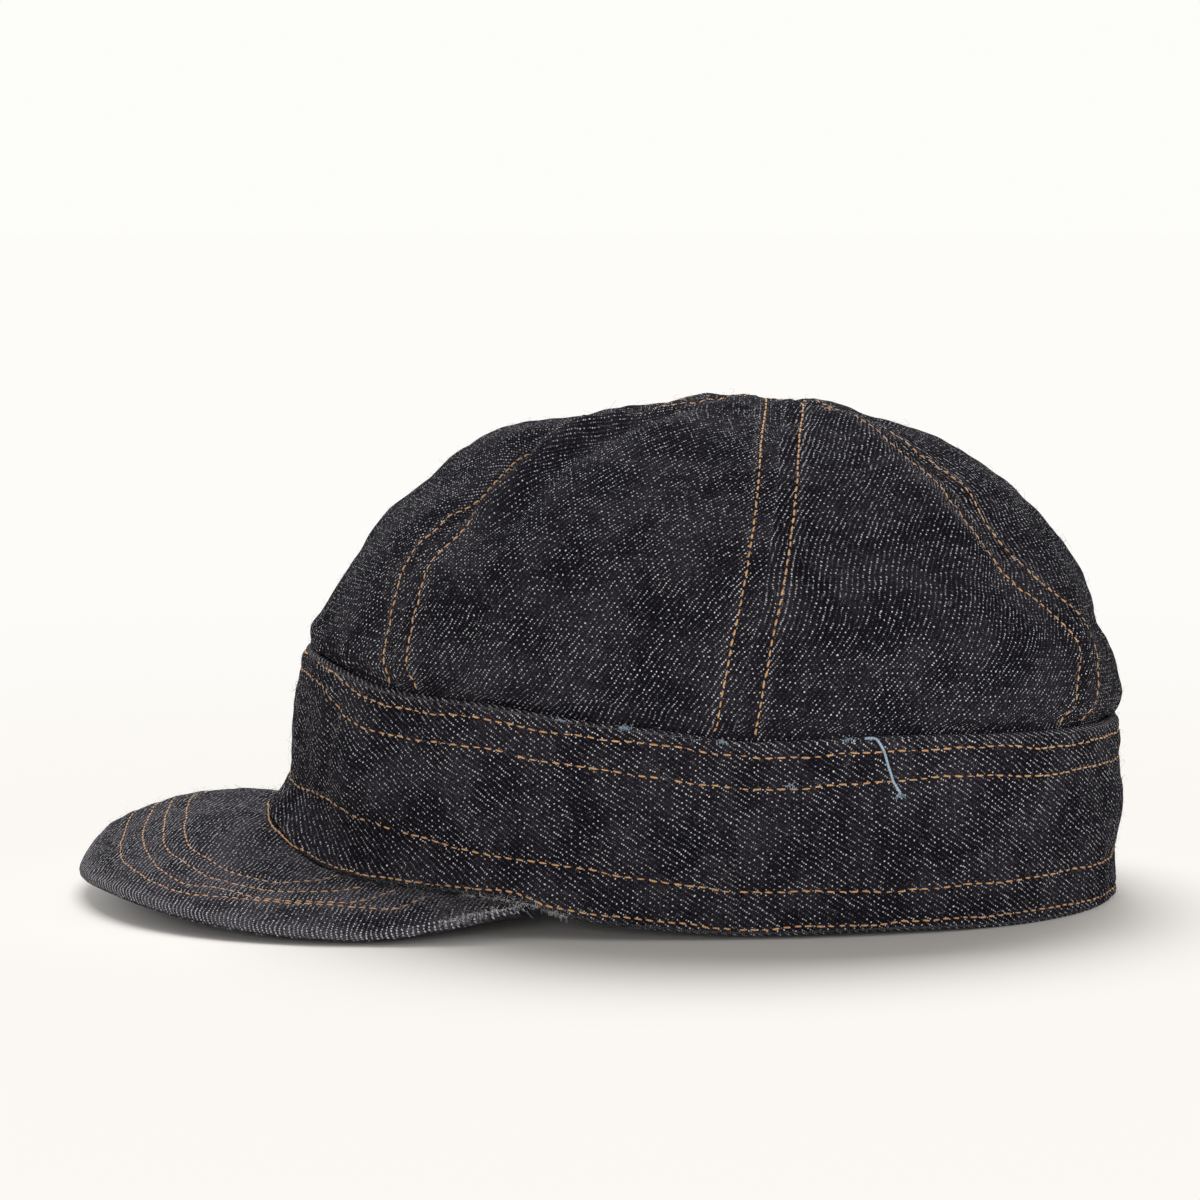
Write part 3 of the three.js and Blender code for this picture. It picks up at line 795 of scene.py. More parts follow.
def noise_node(tree, place, scale, detail=2.0, distortion=0.0, stretch=None):
    """Value of a noise texture at a place, which may first be stretched."""
    if stretch:
        place = vector_node(tree, "MULTIPLY", place, stretch)
    inputs = {"Vector": place, "Scale": scale, "Detail": detail, "Distortion": distortion}
    return add_node(tree, "ShaderNodeTexNoise", inputs=inputs).outputs[0]


def range_node(tree, value, low, high, to_low=0.0, to_high=1.0):
    """Value mapped smoothly from one range to another."""
    inputs = {"Value": value, "From Min": low, "From Max": high, "To Min": to_low, "To Max": to_high}
    return add_node(tree, "ShaderNodeMapRange", interpolation_type="SMOOTHSTEP", inputs=inputs).outputs[0]


def mix_node(tree, share, first, second):
    """Colour mixed from first to second by share."""
    node = add_node(tree, "ShaderNodeMix", data_type="RGBA")
    for name, value in ((0, share), (6, first), (7, second)):
        if isinstance(value, bpy.types.NodeSocket):
            tree.links.new(value, node.inputs[name])
        else:
            node.inputs[name].default_value = value if name == 0 else (*value[:3], 1.0)
    return node.outputs[2]


def new_group(name, inputs, outputs):
    """A shader node group with its sockets, as the tree, its input node and its output node."""
    tree = bpy.data.node_groups.new(name, "ShaderNodeTree")
    for label, kind, value in inputs:
        socket = tree.interface.new_socket(label, in_out="INPUT", socket_type=kind)
        if value is not None:
            socket.default_value = value
    for label, kind in outputs:
        tree.interface.new_socket(label, in_out="OUTPUT", socket_type=kind)
    return tree, tree.nodes.new("NodeGroupInput"), tree.nodes.new("NodeGroupOutput")


def formulas(tree):
    """A tree's own shorthand: any operation, a product, a product plus a sum, a noise and a range."""
    calc = partial(math_node, tree)
    products = partial(calc, "MULTIPLY"), partial(calc, "MULTIPLY_ADD")
    return calc, *products, partial(noise_node, tree), partial(range_node, tree)


def twill_group():
    """Three-and-one twill under a nap: pale weft over every fourth end, one end further on at each pick, and
    painted shade toward the edges of each warp end.
    """
    tree, given, result = new_group(
        "denim twill",
        (
            ("Place", VECTOR, None),
            ("Wear", NUMBER, 0.0),
            ("End Pitch", NUMBER, END_PITCH),
            ("Pick Pitch", NUMBER, PICK_PITCH),
            ("Lean", NUMBER, 1.0),
            ("Fleck", NUMBER, 1.0),
            ("Nap", NUMBER, 1.0),
            ("Warp Colour", COLOUR, (0.01, 0.01, 0.015, 1)),
            ("Weft Colour", COLOUR, (0.6, 0.6, 0.6, 1)),
            ("Nap Colour", COLOUR, (0.1, 0.1, 0.1, 1)),
        ),
        (("Color", COLOUR), ("Height", NUMBER)),
    )
    calc, times, fit, noise, spread = formulas(tree)
    place, wear = given.outputs["Place"], given.outputs["Wear"]
    drift = {"Vector": place, "Scale": 0.45, "Detail": 2.0}
    sway = add_node(tree, "ShaderNodeTexNoise", inputs=drift).outputs[1]
    swayed = vector_node(tree, "MULTIPLY_ADD", sway, (1.1, 1.1, 0.0), place)
    xyz = add_node(tree, "ShaderNodeSeparateXYZ", inputs={0: swayed}).outputs
    x = calc("DIVIDE", xyz[0], given.outputs["End Pitch"])
    y = calc("DIVIDE", xyz[1], given.outputs["Pick Pitch"])
    i, j = calc("FLOOR", x), calc("FLOOR", y)
    across = fit(calc("FRACT", x), 2.0, -1.0)
    along = fit(calc("FRACT", y), 2.0, -1.0)
    across2, along2 = times(across, across), times(along, along)
    step = fit(j, given.outputs["Lean"], i)
    weft_up = calc("LESS_THAN", calc("FLOORED_MODULO", step, 4.0), 0.5)
    slack = fit(wear, -WEAR_SLACK, 1.0, clamp=True)
    far = fit(across2, FLECK_WIDE, times(along2, FLECK_LONG))
    blob = calc("SUBTRACT", 1.0, times(far, slack), clamp=True)
    blob = times(calc("POWER", blob, FLECK_POWER), weft_up)
    odd = times(calc("FLOORED_MODULO", i, 2.0), slack)
    blob = times(blob, fit(odd, -ODD_END_LOSS, 1.0))
    cell = add_node(tree, "ShaderNodeCombineXYZ", inputs={0: i, 1: j}).outputs[0]
    draw = add_node(tree, "ShaderNodeTexWhiteNoise", noise_dimensions="2D", inputs={"Vector": cell})
    luck = fit(calc("POWER", draw.outputs[0], LUCK_POWER), LUCK_GAIN, LUCK_LEAST)
    patch = spread(noise(place, 0.06, 2.0), 0.34, 0.66, 0.65, 1.25)
    slub = spread(noise(place, 1.0, 1.0, 0.0, (0.05, 1.3, 1.0)), 0.35, 0.65, 0.6, 1.25)
    shown = fit(wear, WEAR_SHOWN, times(times(luck, patch), slub))
    fleck = times(times(blob, shown), given.outputs["Fleck"], clamp=True)
    ridge = calc("SUBTRACT", 1.0, across2)
    yarn = spread(noise(place, 1.0, 1.0, 0.0, (2.4, 0.25, 1.0)), 0.3, 0.7, 0.45, 1.5)
    # Painted shade: each warp end is darker toward its two edges, where it dips beside the next end; the yarn
    # noise adds uneven tone on top.
    shade = times(fit(ridge, 0.7, 0.3), yarn)
    warp = mix_node(tree, shade, (0.0, 0.0, 0.0), given.outputs["Warp Colour"])
    base = mix_node(tree, fleck, warp, given.outputs["Weft Colour"])
    fuzz = None
    for scale, width, shift in CURLS:
        moved = vector_node(tree, "ADD", place, (shift, shift, 0.0))
        level = calc("ABSOLUTE", calc("SUBTRACT", noise(moved, scale, 3.0, 0.8), 0.5))
        curl = spread(level, 0.0, width, 1.0, 0.0)
        fuzz = curl if fuzz is None else calc("MAXIMUM", fuzz, curl)
    cloud = spread(noise(place, 0.07, 2.0), 0.36, 0.68, 0.3, 1.15)
    haze = times(fit(fuzz, FUZZ_HAZE, LEAST_HAZE), fit(wear, WEAR_HAZE, cloud))
    haze = times(haze, given.outputs["Nap"], clamp=True)
    colour_out = mix_node(tree, haze, base, given.outputs["Nap Colour"])
    tall = times(calc("SUBTRACT", 1.0, weft_up), ridge)
    tall = fit(blob, 0.75, tall)
    tall = fit(fuzz, 0.5, tall)
    tree.links.new(colour_out, result.inputs["Color"])
    tree.links.new(tall, result.inputs["Height"])
    return tree


def twist_group():
    """Twisted thread: slanted ridges along its length, painted shade that darkens the grooves, and uneven
    dye.
    """
    tree, given, result = new_group(
        "thread twist",
        (("Place", VECTOR, None), ("Pitch", NUMBER, 0.5), ("Colour", COLOUR, (0.6, 0.4, 0.2, 1))),
        (("Color", COLOUR), ("Height", NUMBER)),
    )
    calc, times, fit, noise, spread = formulas(tree)
    xyz = add_node(tree, "ShaderNodeSeparateXYZ", inputs={0: given.outputs["Place"]}).outputs
    turns = calc("DIVIDE", xyz[0], given.outputs["Pitch"])
    ridge = calc("ABSOLUTE", calc("SINE", times(calc("ADD", turns, xyz[1]), math.pi)))
    dye = spread(noise(given.outputs["Place"], 0.35, 2.0), 0.3, 0.7, 0.74, 1.1)
    # Painted shade: the colour darkens from each ridge into the groove beside it, times the uneven dye.
    shade = times(fit(ridge, 0.45, 0.55), dye)
    dye_and_groove_shade = mix_node(tree, shade, (0.03, 0.02, 0.012), given.outputs["Colour"])
    tree.links.new(dye_and_groove_shade, result.inputs["Color"])
    tree.links.new(ridge, result.inputs["Height"])
    return tree


def bare_material(name, constants):
    """A material with constants on its Principled shader, as the material, its tree and the shader."""
    material = bpy.data.materials.new(name)
    material.use_nodes = True
    shader = material.node_tree.nodes["Principled BSDF"]
    for label, value in constants.items():
        shader.inputs[label].default_value = value
    return material, material.node_tree, shader


def new_material(name, group, inputs, relief, constants):
    """A material whose colour and bump come from a pattern group, laid by the piece's own flat places."""
    material, tree, shader = bare_material(name, constants)
    pattern = add_node(tree, "ShaderNodeGroup", node_tree=group)
    tree.links.new(add_node(tree, "ShaderNodeUVMap", uv_map="cloth").outputs[0], pattern.inputs["Place"])
    for label, value in inputs.items():
        pattern.inputs[label].default_value = value
    if "Wear" in pattern.inputs:
        worn = add_node(tree, "ShaderNodeAttribute", attribute_name="wear").outputs["Fac"]
        tree.links.new(worn, pattern.inputs["Wear"])
    bumps = {"Height": pattern.outputs["Height"], "Strength": 0.7, "Distance": relief}
    bump = add_node(tree, "ShaderNodeBump", inputs=bumps)
    tree.links.new(pattern.outputs["Color"], shader.inputs["Base Color"])
    tree.links.new(bump.outputs[0], shader.inputs["Normal"])
    return material


def shared_group(name, build):
    """The node group of that name, built once."""
    return bpy.data.node_groups.get(name) or build()


def denim(name):
    """Denim of a name, with the lean, the flecks and the nap that the table gives it."""
    if name in bpy.data.materials:
        return bpy.data.materials[name]
    lean, fleck, nap = DENIMS[name]
    colours = bpy.context.scene.cap_colours
    return new_material(
        name,
        shared_group("denim twill", twill_group),
        {
            "Lean": lean,
            "Fleck": fleck,
            "Nap": nap,
            "Warp Colour": (*colours.warp, 1),
            "Weft Colour": (*colours.weft, 1),
            "Nap Colour": (*colours.nap, 1),
        },
        CLOTH_BUMP,
        {
            "Roughness": 0.96,
            "Specular IOR Level": 0.01,
            "Sheen Weight": 0.008,
            "Sheen Roughness": 0.45,
            "Sheen Tint": (0.8, 0.82, 0.88, 1),
        },
    )


def thread_material(name, colour, pitch):
    """Sewing thread in a colour, with the pitch of its twist in millimetres."""
    return new_material(
        name,
        shared_group("thread twist", twist_group),
        {"Pitch": pitch, "Colour": (*colour, 1)},
        THREAD_BUMP,
        {"Roughness": 0.62, "Specular IOR Level": 0.35, "Sheen Weight": 0.2},
    )


def build_gore(k):
    """One gore: a grid of turns between two seams and rises from inside the band to the top."""
    name = GORES[k][0]
    hidden = np.linspace(-0.9, 0.0, GORE_ROWS_HIDDEN)[:-1]
    rows = np.concatenate([hidden, np.linspace(0.0, 0.97, GORE_ROWS), [0.98, 0.988, 0.994, CROWN_TOP_RISE]])
    share = np.linspace(0, 1, GORE_COLUMNS)
    share = share - 0.06 * np.sin(2 * np.pi * share)
    rise, across = np.meshgrid(rows, share, indexing="ij")
    turn = lerp(*gore_span(k, rise), across)
    place = crown_form(turn, rise)
    relief, wear = crown_relief(turn, rise, place)
    normal = crown_normal(turn, rise)
    outer = place + normal * relief[..., None]
    inner = place + normal * (np.minimum(relief, 0.9) - CROWN_THICKNESS)[..., None]
    step = np.linalg.norm(np.diff(outer, axis=1), axis=-1)
    run = np.concatenate([np.zeros((len(rows), 1)), np.cumsum(step, axis=1)], axis=1)
    middle = run.shape[1] // 2
    climb = run_length(outer[:, middle])[:, None] + 0.0 * run
    uv = np.stack([run - run[:, middle : middle + 1] + 200.0 * k, climb], -1)
    piece = make_shell(name.replace("crown", "gore"), outer, inner, uv, wear, denim("denim crown"))
    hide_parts(name)
    return piece


class CAP_OT_crown(bpy.types.Operator):
    """Build the crown's six gores"""

    bl_idname = "cap.crown"
    bl_label = "Crown"

    def execute(self, context):
        for k in range(len(GORES)):
            piece = build_gore(k)
        return {"FINISHED"}


def band_section():
    """The band's cross-section in four runs, out, over, in and under, as rows of share of the height, depth
    from the outer face and crest of the rounded folds."""
    share = np.linspace(0, 1, BAND_ROWS_UP)
    half = BAND_THICKNESS / 2
    bend = np.linspace(0, np.pi, 8)[1:-1]
    outer = np.stack([share, 0 * share, 1 + 0 * share], -1)
    over = np.stack([1 + 0 * bend, half * (1 - np.cos(bend)), np.sin(bend)], -1)
    back = np.linspace(1, 0, 12)
    inner = np.stack([back, BAND_THICKNESS + 0 * back, 0 * back], -1)
    under = np.stack([0 * bend, half * (1 + np.cos(bend)), -np.sin(bend)], -1)
    return outer, over, inner, under


def build_band(name, node, start, end):
    """One length of the band: its closed cross-section with rounded folds, carried round the oval."""
    turns = np.linspace(start + 0.04, end - 0.04, BAND_COLUMNS)
    rounding = BAND_THICKNESS / 2
    parts, wears = [], []
    for part, rows in enumerate(band_section()):
        turn, share = np.meshgrid(turns, rows[:, 0], indexing="ij")
        depth, crest = (np.broadcast_to(rows[:, i], turn.shape) for i in (1, 2))
        tall = high_edge(turn) - low_edge(turn)
        held = np.clip(share, rounding / tall, 1 - rounding / tall)
        relief, wear = band_relief(turn, share)
        points = band_point(turn, held, depth - (0.0 if part else relief))
        if part:
            points[..., 2] += rounding * crest
            wear = wear * (np.abs(crest) > 0)
        parts.append(points)
        wears.append(wear)
    rings, wear = np.concatenate(parts, axis=1), np.concatenate(wears, axis=1)
    count, size = rings.shape[:2]
    run = run_length(rings[:, 20])[:, None] + np.zeros(size)
    height = np.where(np.arange(size) < BAND_ROWS_UP, rings[..., 2], run_length(rings[0]))
    uv = np.stack([height, run + 400.0], -1).reshape(-1, 2)
    faces = ring_faces(1, count, size, flip=True)
    piece = make_piece(name, rings.reshape(-1, 3), faces, uv, denim("denim band"), wear.ravel(), 60)
    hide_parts(node)
    return piece


class CAP_OT_band(bpy.types.Operator):
    """Build the head band's two lengths"""

    bl_idname = "cap.band"
    bl_label = "Head Band"

    def execute(self, context):
        for name, node, start, end in (
            ("band_front_cloth", "band_front", -90, 90),
            ("band_back_cloth", "band_back", 90, 270),
        ):
            piece = build_band(name, node, start, end)
        return {"FINISHED"}


class CAP_OT_peak(bpy.types.Operator):
    """Build the peak"""

    bl_idname = "cap.peak"
    bl_label = "Peak"

    def execute(self, context):
        bend = np.cos(np.linspace(0, np.pi / 2, PEAK_ROWS_ROUND))[1:]
        rows = np.concatenate([np.linspace(0, 0.955, PEAK_ROWS_FLAT), 1 - 0.045 * bend])
        out, turn = np.meshgrid(rows, np.linspace(1, -1, PEAK_COLUMNS), indexing="ij")
        place, normal = peak_form(turn, out), peak_normal(turn, out)
        relief, wear = peak_relief(place, out)
        across = peak_form(turn, 1.0) - peak_form(turn, 0.0)
        half = PEAK_THICKNESS / 2
        inwards = np.clip((1 - out) * np.linalg.norm(across, axis=-1) / half, 0, 1)
        thick = half * np.sqrt(1 - (1 - inwards) ** 2)
        middle = place - normal * half
        top = middle + normal * (thick + relief * inwards)[..., None]
        under = middle - normal * thick[..., None]
        under[..., 2] = np.maximum(under[..., 2], 0.0)
        away = unit(across[..., :2])
        flats = [place[..., :2] + away * (half + side * thick)[..., None] for side in (-1, 1)]
        flats = [(flat[..., 0], flat[..., 1]) for flat in flats]
        flats = [np.stack([x * 0.8 + y * 0.6, y * 0.8 - x * 0.6], -1) + 700.0 for x, y in flats]
        piece = make_shell("peak_cloth", top, under, flats[0], wear, denim("denim peak"), flats[1])
        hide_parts("peak")
        return {"FINISHED"}


def stitches(starts, ends, normals, width, seed):
    """Tubes from hole to hole: each arches over the cloth by a power of a sine and thins into its holes."""
    rng = np.random.default_rng(seed)
    count = len(starts)
    u = np.linspace(0, 1, STITCH_RINGS)[None, :, None]
    side = unit(np.cross(unit(ends - starts), normals))
    shift = side * rng.normal(0, 0.05, (count, 1))
    slant = side * rng.normal(0.06, 0.04, (count, 1))
    starts, ends = starts + shift - slant, ends + shift + slant
    arch = np.sin(np.pi * u) ** 0.4
    line = starts[:, None] + (ends - starts)[:, None] * u
    line = line + normals[:, None] * (-0.30 + 0.40 * arch * rng.uniform(0.85, 1.1, (count, 1, 1)))
    girth = (0.62 + 0.38 * np.sin(np.pi * u)) * width / 2 * rng.uniform(0.88, 1.08, (count, 1, 1))
    length = np.linalg.norm(ends - starts, axis=-1)[:, None, None]
    along = u * length + (np.arange(count) * 7.3)[:, None, None]
    return tubes(line, side[:, None], normals[:, None], girth[..., None], along, STITCH_SIDES, 0.8)


def cut_row(line, normals, pitch, share=0.85):
    """A row of stitches along a line, each from the start of a pitch to a share of it, by length."""
    length = run_length(line)
    count = int(length[-1] / pitch)
    at = (np.arange(count) + 0.1) * length[-1] / max(count, 1)
    ends = at + share * length[-1] / max(count, 1)

    def read(values, spots):
        return np.stack([np.interp(spots, length, values[:, i]) for i in range(3)], -1)

    return read(line, at), read(line, ends), unit(read(normals, (at + ends) / 2))


def sew(name, rows, material, width, seed):
    """One piece of stitching from several rows."""
    parts = (np.concatenate(part) for part in zip(*rows))
    return make_piece(name, *stitches(*parts, width, seed), material)


def band_stitch_row(k, start, end, pitch):
    """A row of the band between two turns, laid on its finished face."""
    turn = np.linspace(start, end, 900)
    share = band_share(turn, band_row_height(k, turn))
    return cut_row(band_skin(turn, share), band_normal(turn, share), pitch)


def beside_seam(k, side, low, high):
    """Turns and rises beside a crown seam at half the seam's width: on the wall by turning at one rise, and
    near the top by the place in plan, whose rise comes from the arc's own formula taken backwards."""
    half = side * bpy.context.scene.cap_cloth.seam_width / MM / 2
    rise = np.linspace(low, high, 500)
    turn = seam_turn(k, rise)
    seam = crown_plan(turn, rise)
    ray = unit(seam)
    beside = np.stack([ray[:, 1], -ray[:, 0]], -1)
    ring = np.linspace(-180, 540, 1441)
    feet = crown_plan(ring, 0.6)
    bearing = np.unwrap(np.arctan2(feet[:, 0], -feet[:, 1]))
    middle = np.interp(turn, ring, bearing)
    for _ in range(NEWTON_STEPS):
        arm = crown_plan(turn, rise)
        slope = ((crown_plan(turn + 0.2, rise) - arm) * beside).sum(-1) / 0.2
        turn = turn + np.clip((half - (arm * beside).sum(-1)) / slope, -8, 8)
    target = seam + beside * half
    wanted = np.arctan2(target[:, 0], -target[:, 1])
    wanted = wanted + 2 * np.pi * np.round((middle - wanted) / (2 * np.pi))
    top_turn = np.interp(wanted, bearing, ring)
    whole = np.linalg.norm(crown_plan(top_turn, 0.6), axis=-1)
    whole = whole / np.cos(0.3 * np.pi) ** (2 / arch_power(top_turn, 0.6))
    reach = np.clip(np.linalg.norm(target, axis=-1) / whole, 1e-6, 1)
    top_rise = rise
    for _ in range(2 * NEWTON_STEPS):
        top_rise = np.arccos(reach ** (arch_power(top_turn, top_rise) / 2)) * 2 / np.pi
    blend = soft_step((rise - 0.72) / 0.1)
    return lerp(turn, top_turn, blend), lerp(rise, top_rise, blend)


def crown_stitch_row(k, side, low, high, pitch):
    """A row beside a crown seam, laid on the finished crown."""
    turn, rise = beside_seam(k, side, low, high)
    rise = np.minimum(rise, 0.9985)
    return cut_row(crown_skin(turn, rise), crown_normal(turn, rise), pitch)


def peak_stitch_row(k, pitch):
    """A row of the peak, found on the surface from its plan by Newton steps from the nearest of a grid."""
    spots = peak_row_points(k)
    grid = np.meshgrid(np.linspace(-1, 1, 161), np.linspace(0, 1, 61), indexing="ij")
    turn, out = (values.ravel() for values in grid)
    plan = peak_form(turn, out)[:, :2]
    nearest = np.linalg.norm(spots[:, None] - plan[None], axis=-1).argmin(1)
    turn, out = turn[nearest], out[nearest]
    for _ in range(NEWTON_STEPS):
        here = peak_form(turn, out)[:, :2]
        slope_t = (peak_form(turn + 0.002, out)[:, :2] - here) / 0.002
        slope_o = (peak_form(turn, np.clip(out + 0.002, 0, 2))[:, :2] - here) / 0.002
        gap = spots - here
        det = slope_t[:, 0] * slope_o[:, 1] - slope_t[:, 1] * slope_o[:, 0]
        det = np.where(np.abs(det) < 1e-6, 1e-6, det)
        turn = np.clip(turn + (gap[:, 0] * slope_o[:, 1] - gap[:, 1] * slope_o[:, 0]) / det, -1, 1)
        out = np.clip(out + (slope_t[:, 0] * gap[:, 1] - slope_t[:, 1] * gap[:, 0]) / det, 0.004, 0.99)
    return cut_row(peak_skin(turn, out), peak_normal(turn, out), pitch)


class CAP_OT_stitching(bpy.types.Operator):
    """Sew the rows of the seams, the band and the peak"""

    bl_idname = "cap.stitching"
    bl_label = "Stitching"

    def execute(self, context):
        sewing = context.scene.cap_sewing
        pitch, width = sewing.pitch / MM, sewing.thread_width / MM
        gold = thread_material("gold thread", context.scene.cap_colours.thread, 0.55)
        rows = []
        for k in range(len(GORES)):
            high = 0.985 if k in (0, 3) else 0.955
            for side in (-1, 1):
                rows.append(crown_stitch_row(k, side, 0.006, high, pitch * CROWN_PITCH))
        sew("crown_stitching", rows, gold, width, 41)
        for name, start, end in (("band_front_stitching", -89.6, 89.6), ("band_back_stitching", 90.4, 269.6)):
            shares = (BAND_PITCH, BAND_PITCH, BAND_PITCH, LOW_ROW_PITCH)
            rows = [band_stitch_row(k, start, end, pitch * share) for k, share in enumerate(shares)]
            sew(name, rows, gold, width * BAND_THREAD, 43)
        rows = [peak_stitch_row(k, pitch * PEAK_PITCH) for k in range(len(PEAK_ROWS))]
        sew("peak_stitching", rows, gold, width * PEAK_THREAD, 47)
        return {"FINISHED"}


def strands(starts, directions, normals, lengths, width, curl, seed):
    """Three-sided hairs: each runs along its direction and bends by two sines of its own."""
    rng = np.random.default_rng(seed)
    count = len(starts)
    u = np.linspace(0, 1, STRAND_RINGS)[None, :, None]
    side = unit(np.cross(directions, normals))[:, None]
    over, long = normals[:, None], lengths[:, None, None]
    phase = rng.random((count, 1, 1)) * 2 * np.pi
    bend = np.sin(phase + u * rng.uniform(1.5, 5.0, (count, 1, 1))) - np.sin(phase)
    lift = np.sin(phase * 2 + u * 3.0) - np.sin(phase * 2)
    line = starts[:, None] + directions[:, None] * (long * u)
    line = line + side * bend * curl * long
    line = line + over * lift * 0.3 * curl * long
    girth = ((1 - 0.6 * u) * width / 2)[..., None]
    return tubes(line, side, over, girth, long * u, STRAND_SIDES, whole=6.3)


def fibre_material(name, colour):
    """Matt fibre of one colour, a little uneven from place to place."""
    material, tree, shader = bare_material(name, {"Roughness": 0.8, "Specular IOR Level": 0.2})
    place = add_node(tree, "ShaderNodeTexCoord").outputs["Object"]
    shade = range_node(tree, noise_node(tree, place, 700.0, 2.0), 0.3, 0.7, 0.5, 1.3)
    tree.links.new(mix_node(tree, shade, (0.0, 0.0, 0.0), colour), shader.inputs["Base Color"])
    return material


class CAP_OT_nap(bpy.types.Operator):
    """Scatter loose fibres over the cloth"""

    bl_idname = "cap.nap"
    bl_label = "Nap"

    def execute(self, context):
        cloth = context.scene.cap_cloth
        rng = np.random.default_rng(61)
        fuzz = fibre_material("fibre", (0.42, 0.41, 0.42))
        half, third, fifth = (cloth.nap_count // part for part in (2, 3, 5))
        turn, rise = rng.uniform(0, 360, half), np.arcsin(rng.uniform(0.05, 0.999, half)) * 2 / np.pi
        crown = (crown_skin(turn, rise), crown_normal(turn, rise))
        turn, share = rng.uniform(0, 360, third), rng.uniform(0.0, 1.0, third)
        band = (band_skin(turn, share), band_normal(turn, share))
        turn, out = rng.uniform(-0.95, 0.95, fifth), rng.uniform(0.05, 0.99, fifth)
        peak = (peak_skin(turn, out), peak_normal(turn, out))
        for name, (places, normals) in (("crown_nap", crown), ("band_nap", band), ("peak_nap", peak)):
            loose = unit(rng.normal(size=places.shape))
            flat = loose - normals * (loose * normals).sum(-1, keepdims=True)
            direction = unit(unit(flat) + normals * rng.uniform(0.05, 0.8, (len(places), 1)))
            length = cloth.nap_length / MM * rng.uniform(0.35, 1.2, len(places)) ** 1.5
            hairs = strands(places - normals * 0.08, direction, normals, length, NAP_WIDTH, NAP_CURL, 63)
            make_piece(name, *hairs, fuzz)
        side = rng.choice((-1.0, 1.0), FRAY_COUNT)
        turn, out = rng.uniform(0.86, 1.0, FRAY_COUNT) * side, rng.uniform(0.97, 0.995, FRAY_COUNT)
        rim = (peak_skin(turn, out), unit(peak_form(turn, out) - peak_form(turn, out - 0.1)))
        turn = rng.uniform(48, 64, FRAY_COUNT) * side
        foot = (band_skin(turn, 0.004), band_normal(turn, 0.02))
        places, outwards = (np.concatenate(pair) for pair in zip(rim, foot))
        direction = unit(outwards + rng.normal(0, 0.55, places.shape) + (0.0, 0.0, -0.2))
        over = unit(np.cross(direction, rng.normal(size=places.shape)))
        lengths = rng.uniform(0.5, 1.5, 2 * FRAY_COUNT)
        hairs = strands(places - outwards * 0.15, direction, over, lengths, FRAY_WIDTH, FRAY_CURL, 67)
        make_piece("edge_fray", *hairs, fibre_material("pale fibre", (0.92, 0.92, 0.93)))
        return {"FINISHED"}


def tube(line, normals, width, sides=8):
    """A closed tube of one width along a line, its rings square to the line's run."""
    run = unit(np.gradient(line, axis=0))
    side = unit(np.cross(run, normals))
    over = np.cross(side, run)
    return tubes(line[None], side[None], over[None], width / 2, run_length(line)[None, :, None], sides)


class CAP_OT_loose_thread(bpy.types.Operator):
    """Lay the loose thread and the tufts on the band"""

    bl_idname = "cap.loose_thread"
    bl_label = "Loose Thread"

    def execute(self, context):
        rng = np.random.default_rng(71)
        colours = context.scene.cap_colours
        blue = thread_material("loose blue thread", colours.loose, 0.7)
        starts, directions, normals, lengths = [], [], [], []
        for turn, height, count, length in TUFTS:
            at = turn + rng.normal(0, 0.5, count)
            share = np.minimum(band_share(at, height), 0.99)
            normal = band_normal(at, share)
            spread = unit(rng.normal(size=(count, 3)) * (1, 1, 0.6) + normal * 0.5)
            starts.append(band_skin(at, share) - normal * 0.1)
            directions.append(spread)
            normals.append(normal)
            lengths.append(length * rng.uniform(0.5, 1.1, count))
        turn, height = (np.interp(np.linspace(0, 5, 41), np.arange(6), v) for v in zip(*LOOSE_PATH))
        share = np.minimum(band_share(turn, height), 0.995)
        normal = band_normal(turn, share)
        line = band_skin(turn, share) + normal * LOOSE_LIFT
        line[1:-1] = (line[:-2] + line[1:-1] + line[2:]) / 3
        make_piece("loose_thread", *tube(line, normal, LOOSE_WIDTH), blue)
        starts.append(np.repeat(line[-1:], FRAYED_END_COUNT, axis=0))
        directions.append(unit(rng.normal(size=(FRAYED_END_COUNT, 3)) * (0.2, 0.45, 0.3) + (0.1, 0.1, -1.0)))
        normals.append(np.repeat(normal[-1:], FRAYED_END_COUNT, axis=0))
        lengths.append(rng.uniform(1.0, 2.2, FRAYED_END_COUNT))
        parts = (np.concatenate(part) for part in (starts, directions, normals, lengths))
        hairs = strands(*parts, TUFT_WIDTH, TUFT_CURL, 73)
        make_piece("thread_tufts", *hairs, blue)
        return {"FINISHED"}


def floor_material(colour):
    """Pale paper that takes shadows near the cap, and farther away turns into a glow of its own plain colour:
    painted light that washes out the cap's shadow beyond about 85 mm.
    """
    constants = {"Base Color": (*colour, 1), "Roughness": 0.9, "Specular IOR Level": 0.1}
    material, tree, shader = bare_material("floor paper", constants)
    place = add_node(tree, "ShaderNodeTexCoord").outputs["Object"]
    near = vector_node(tree, "MULTIPLY_ADD", place, (1.0, 0.85, 0.0), (-0.03, 0, 0))
    away = add_node(tree, "ShaderNodeVectorMath", operation="LENGTH", inputs={0: near}).outputs["Value"]
    paper = mix_node(tree, range_node(tree, away, 0.15, 0.85), PAPER_NEAR, PAPER_FAR)
    glow = add_node(tree, "ShaderNodeEmission", inputs={"Color": paper, "Strength": 1.0})
    # Painted light: on an oval round a point a little off the cap's middle, the lit paper gives way to the
    # glow between 85 and 155 mm, so the cap's shadow fades out there.
    fade = range_node(tree, away, 0.085, 0.155)
    blend = add_node(
        tree, "ShaderNodeMixShader", inputs={0: fade, 1: shader.outputs[0], 2: glow.outputs[0]}
    )
    tree.links.new(blend.outputs[0], tree.nodes["Material Output"].inputs[0])
    return material


def add_object(name, data, place, aim):
    """An object at a place, turned so that it looks at another."""
    item = bpy.data.objects.new(name, data)
    item.location = place
    item.rotation_euler = (Vector(aim) - Vector(place)).to_track_quat("-Z", "Y").to_euler()
    bpy.context.scene.collection.objects.link(item)
    return item


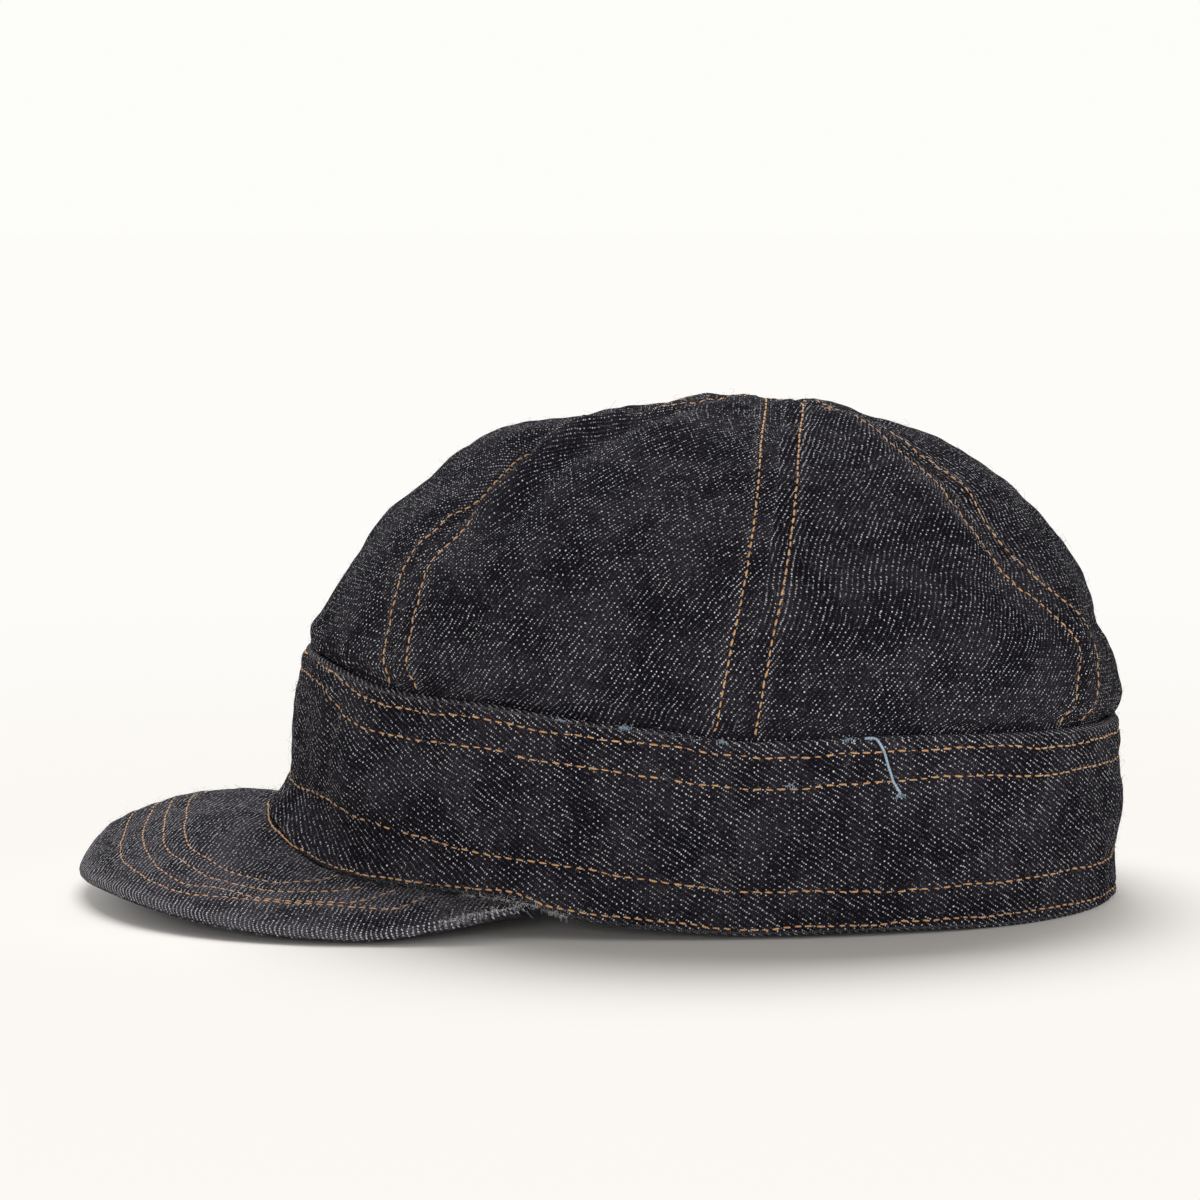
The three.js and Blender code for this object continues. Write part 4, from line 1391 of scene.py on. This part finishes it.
class CAP_OT_stage(bpy.types.Operator):
    """Set up the floor, the light and the camera"""

    bl_idname = "cap.stage"
    bl_label = "Stage"

    def execute(self, context):
        scene, look = context.scene, context.scene.cap_stage
        radius = np.array(FLOOR_RADII)[:, None]
        turn = np.linspace(0, 2 * np.pi, 97)[:-1]
        ring = np.stack([radius * np.cos(turn), radius * np.sin(turn), 0 * radius * turn], -1).reshape(-1, 3)
        mesh = bpy.data.meshes.new("ground")
        mesh.from_pydata(ring.tolist(), [], ring_faces(1, len(radius), len(turn), flip=True)[:-1])
        mesh.materials.append(floor_material(look.floor))
        ground = bpy.data.objects.new("ground", mesh)
        scene.collection.objects.link(ground)
        world = bpy.data.worlds.new("studio")
        world.use_nodes = True
        scene.world = world
        tree = world.node_tree
        back = tree.nodes["Background"]
        path = add_node(tree, "ShaderNodeLightPath").outputs["Is Camera Ray"]
        tree.links.new(range_node(tree, path, 0.0, 1.0, look.sky, 1.0), back.inputs["Strength"])
        tree.links.new(mix_node(tree, path, SKY_LIGHT, SKY_SEEN), back.inputs["Color"])
        for name, place, size, share in LIGHTS:
            data = bpy.data.lights.new(name, "AREA")
            data.shape = "SQUARE"
            data.size = size
            data.energy = look.softbox * share
            add_object(name, data, place, LIGHT_AIM)
        data = bpy.data.cameras.new("camera")
        data.lens = CAMERA_LENS
        data.sensor_width = 36.0
        data.clip_end = 100.0
        scene.camera = add_object("camera", data, CAMERA_PLACE, CAMERA_AIM)
        scene.view_settings.view_transform = "Standard"
        return {"FINISHED"}


class CAP_PT_panel(bpy.types.Panel):
    """Lists the steps that build the cap"""

    bl_idname = "CAP_PT_panel"
    bl_label = "Work Cap"
    bl_space_type = "VIEW_3D"
    bl_region_type = "UI"
    bl_category = "Work Cap"

    def draw(self, context):
        for operator in OPERATORS:
            self.layout.operator(operator.bl_idname)
        for group in (getattr(context.scene, name) for name in GROUPS):
            for name in group.bl_rna.properties.keys():
                if name not in ("rna_type", "name"):
                    self.layout.prop(group, name)


OPERATORS = (
    CAP_OT_stage,
    CAP_OT_crown,
    CAP_OT_band,
    CAP_OT_peak,
    CAP_OT_stitching,
    CAP_OT_nap,
    CAP_OT_loose_thread,
)
GROUPS = {"cap_cloth": CapCloth, "cap_colours": CapColours, "cap_sewing": CapSewing, "cap_stage": CapStage}


def register():
    """Registers the classes and gives the scene its settings."""
    for kind in (*GROUPS.values(), *OPERATORS, CAP_PT_panel):
        bpy.utils.register_class(kind)
    for name, group in GROUPS.items():
        setattr(bpy.types.Scene, name, PointerProperty(type=group))


def unregister():
    """Takes the settings and the classes away again."""
    for name in GROUPS:
        delattr(bpy.types.Scene, name)
    for kind in (CAP_PT_panel, *OPERATORS[::-1], *GROUPS.values()):
        bpy.utils.unregister_class(kind)


def main():
    """Builds the whole cap by its operators."""
    register()
    bpy.ops.cap.stage()
    bpy.ops.cap.crown()
    bpy.ops.cap.band()
    bpy.ops.cap.peak()
    bpy.ops.cap.stitching()
    bpy.ops.cap.nap()
    bpy.ops.cap.loose_thread()


if __name__ == "__main__":
    main()
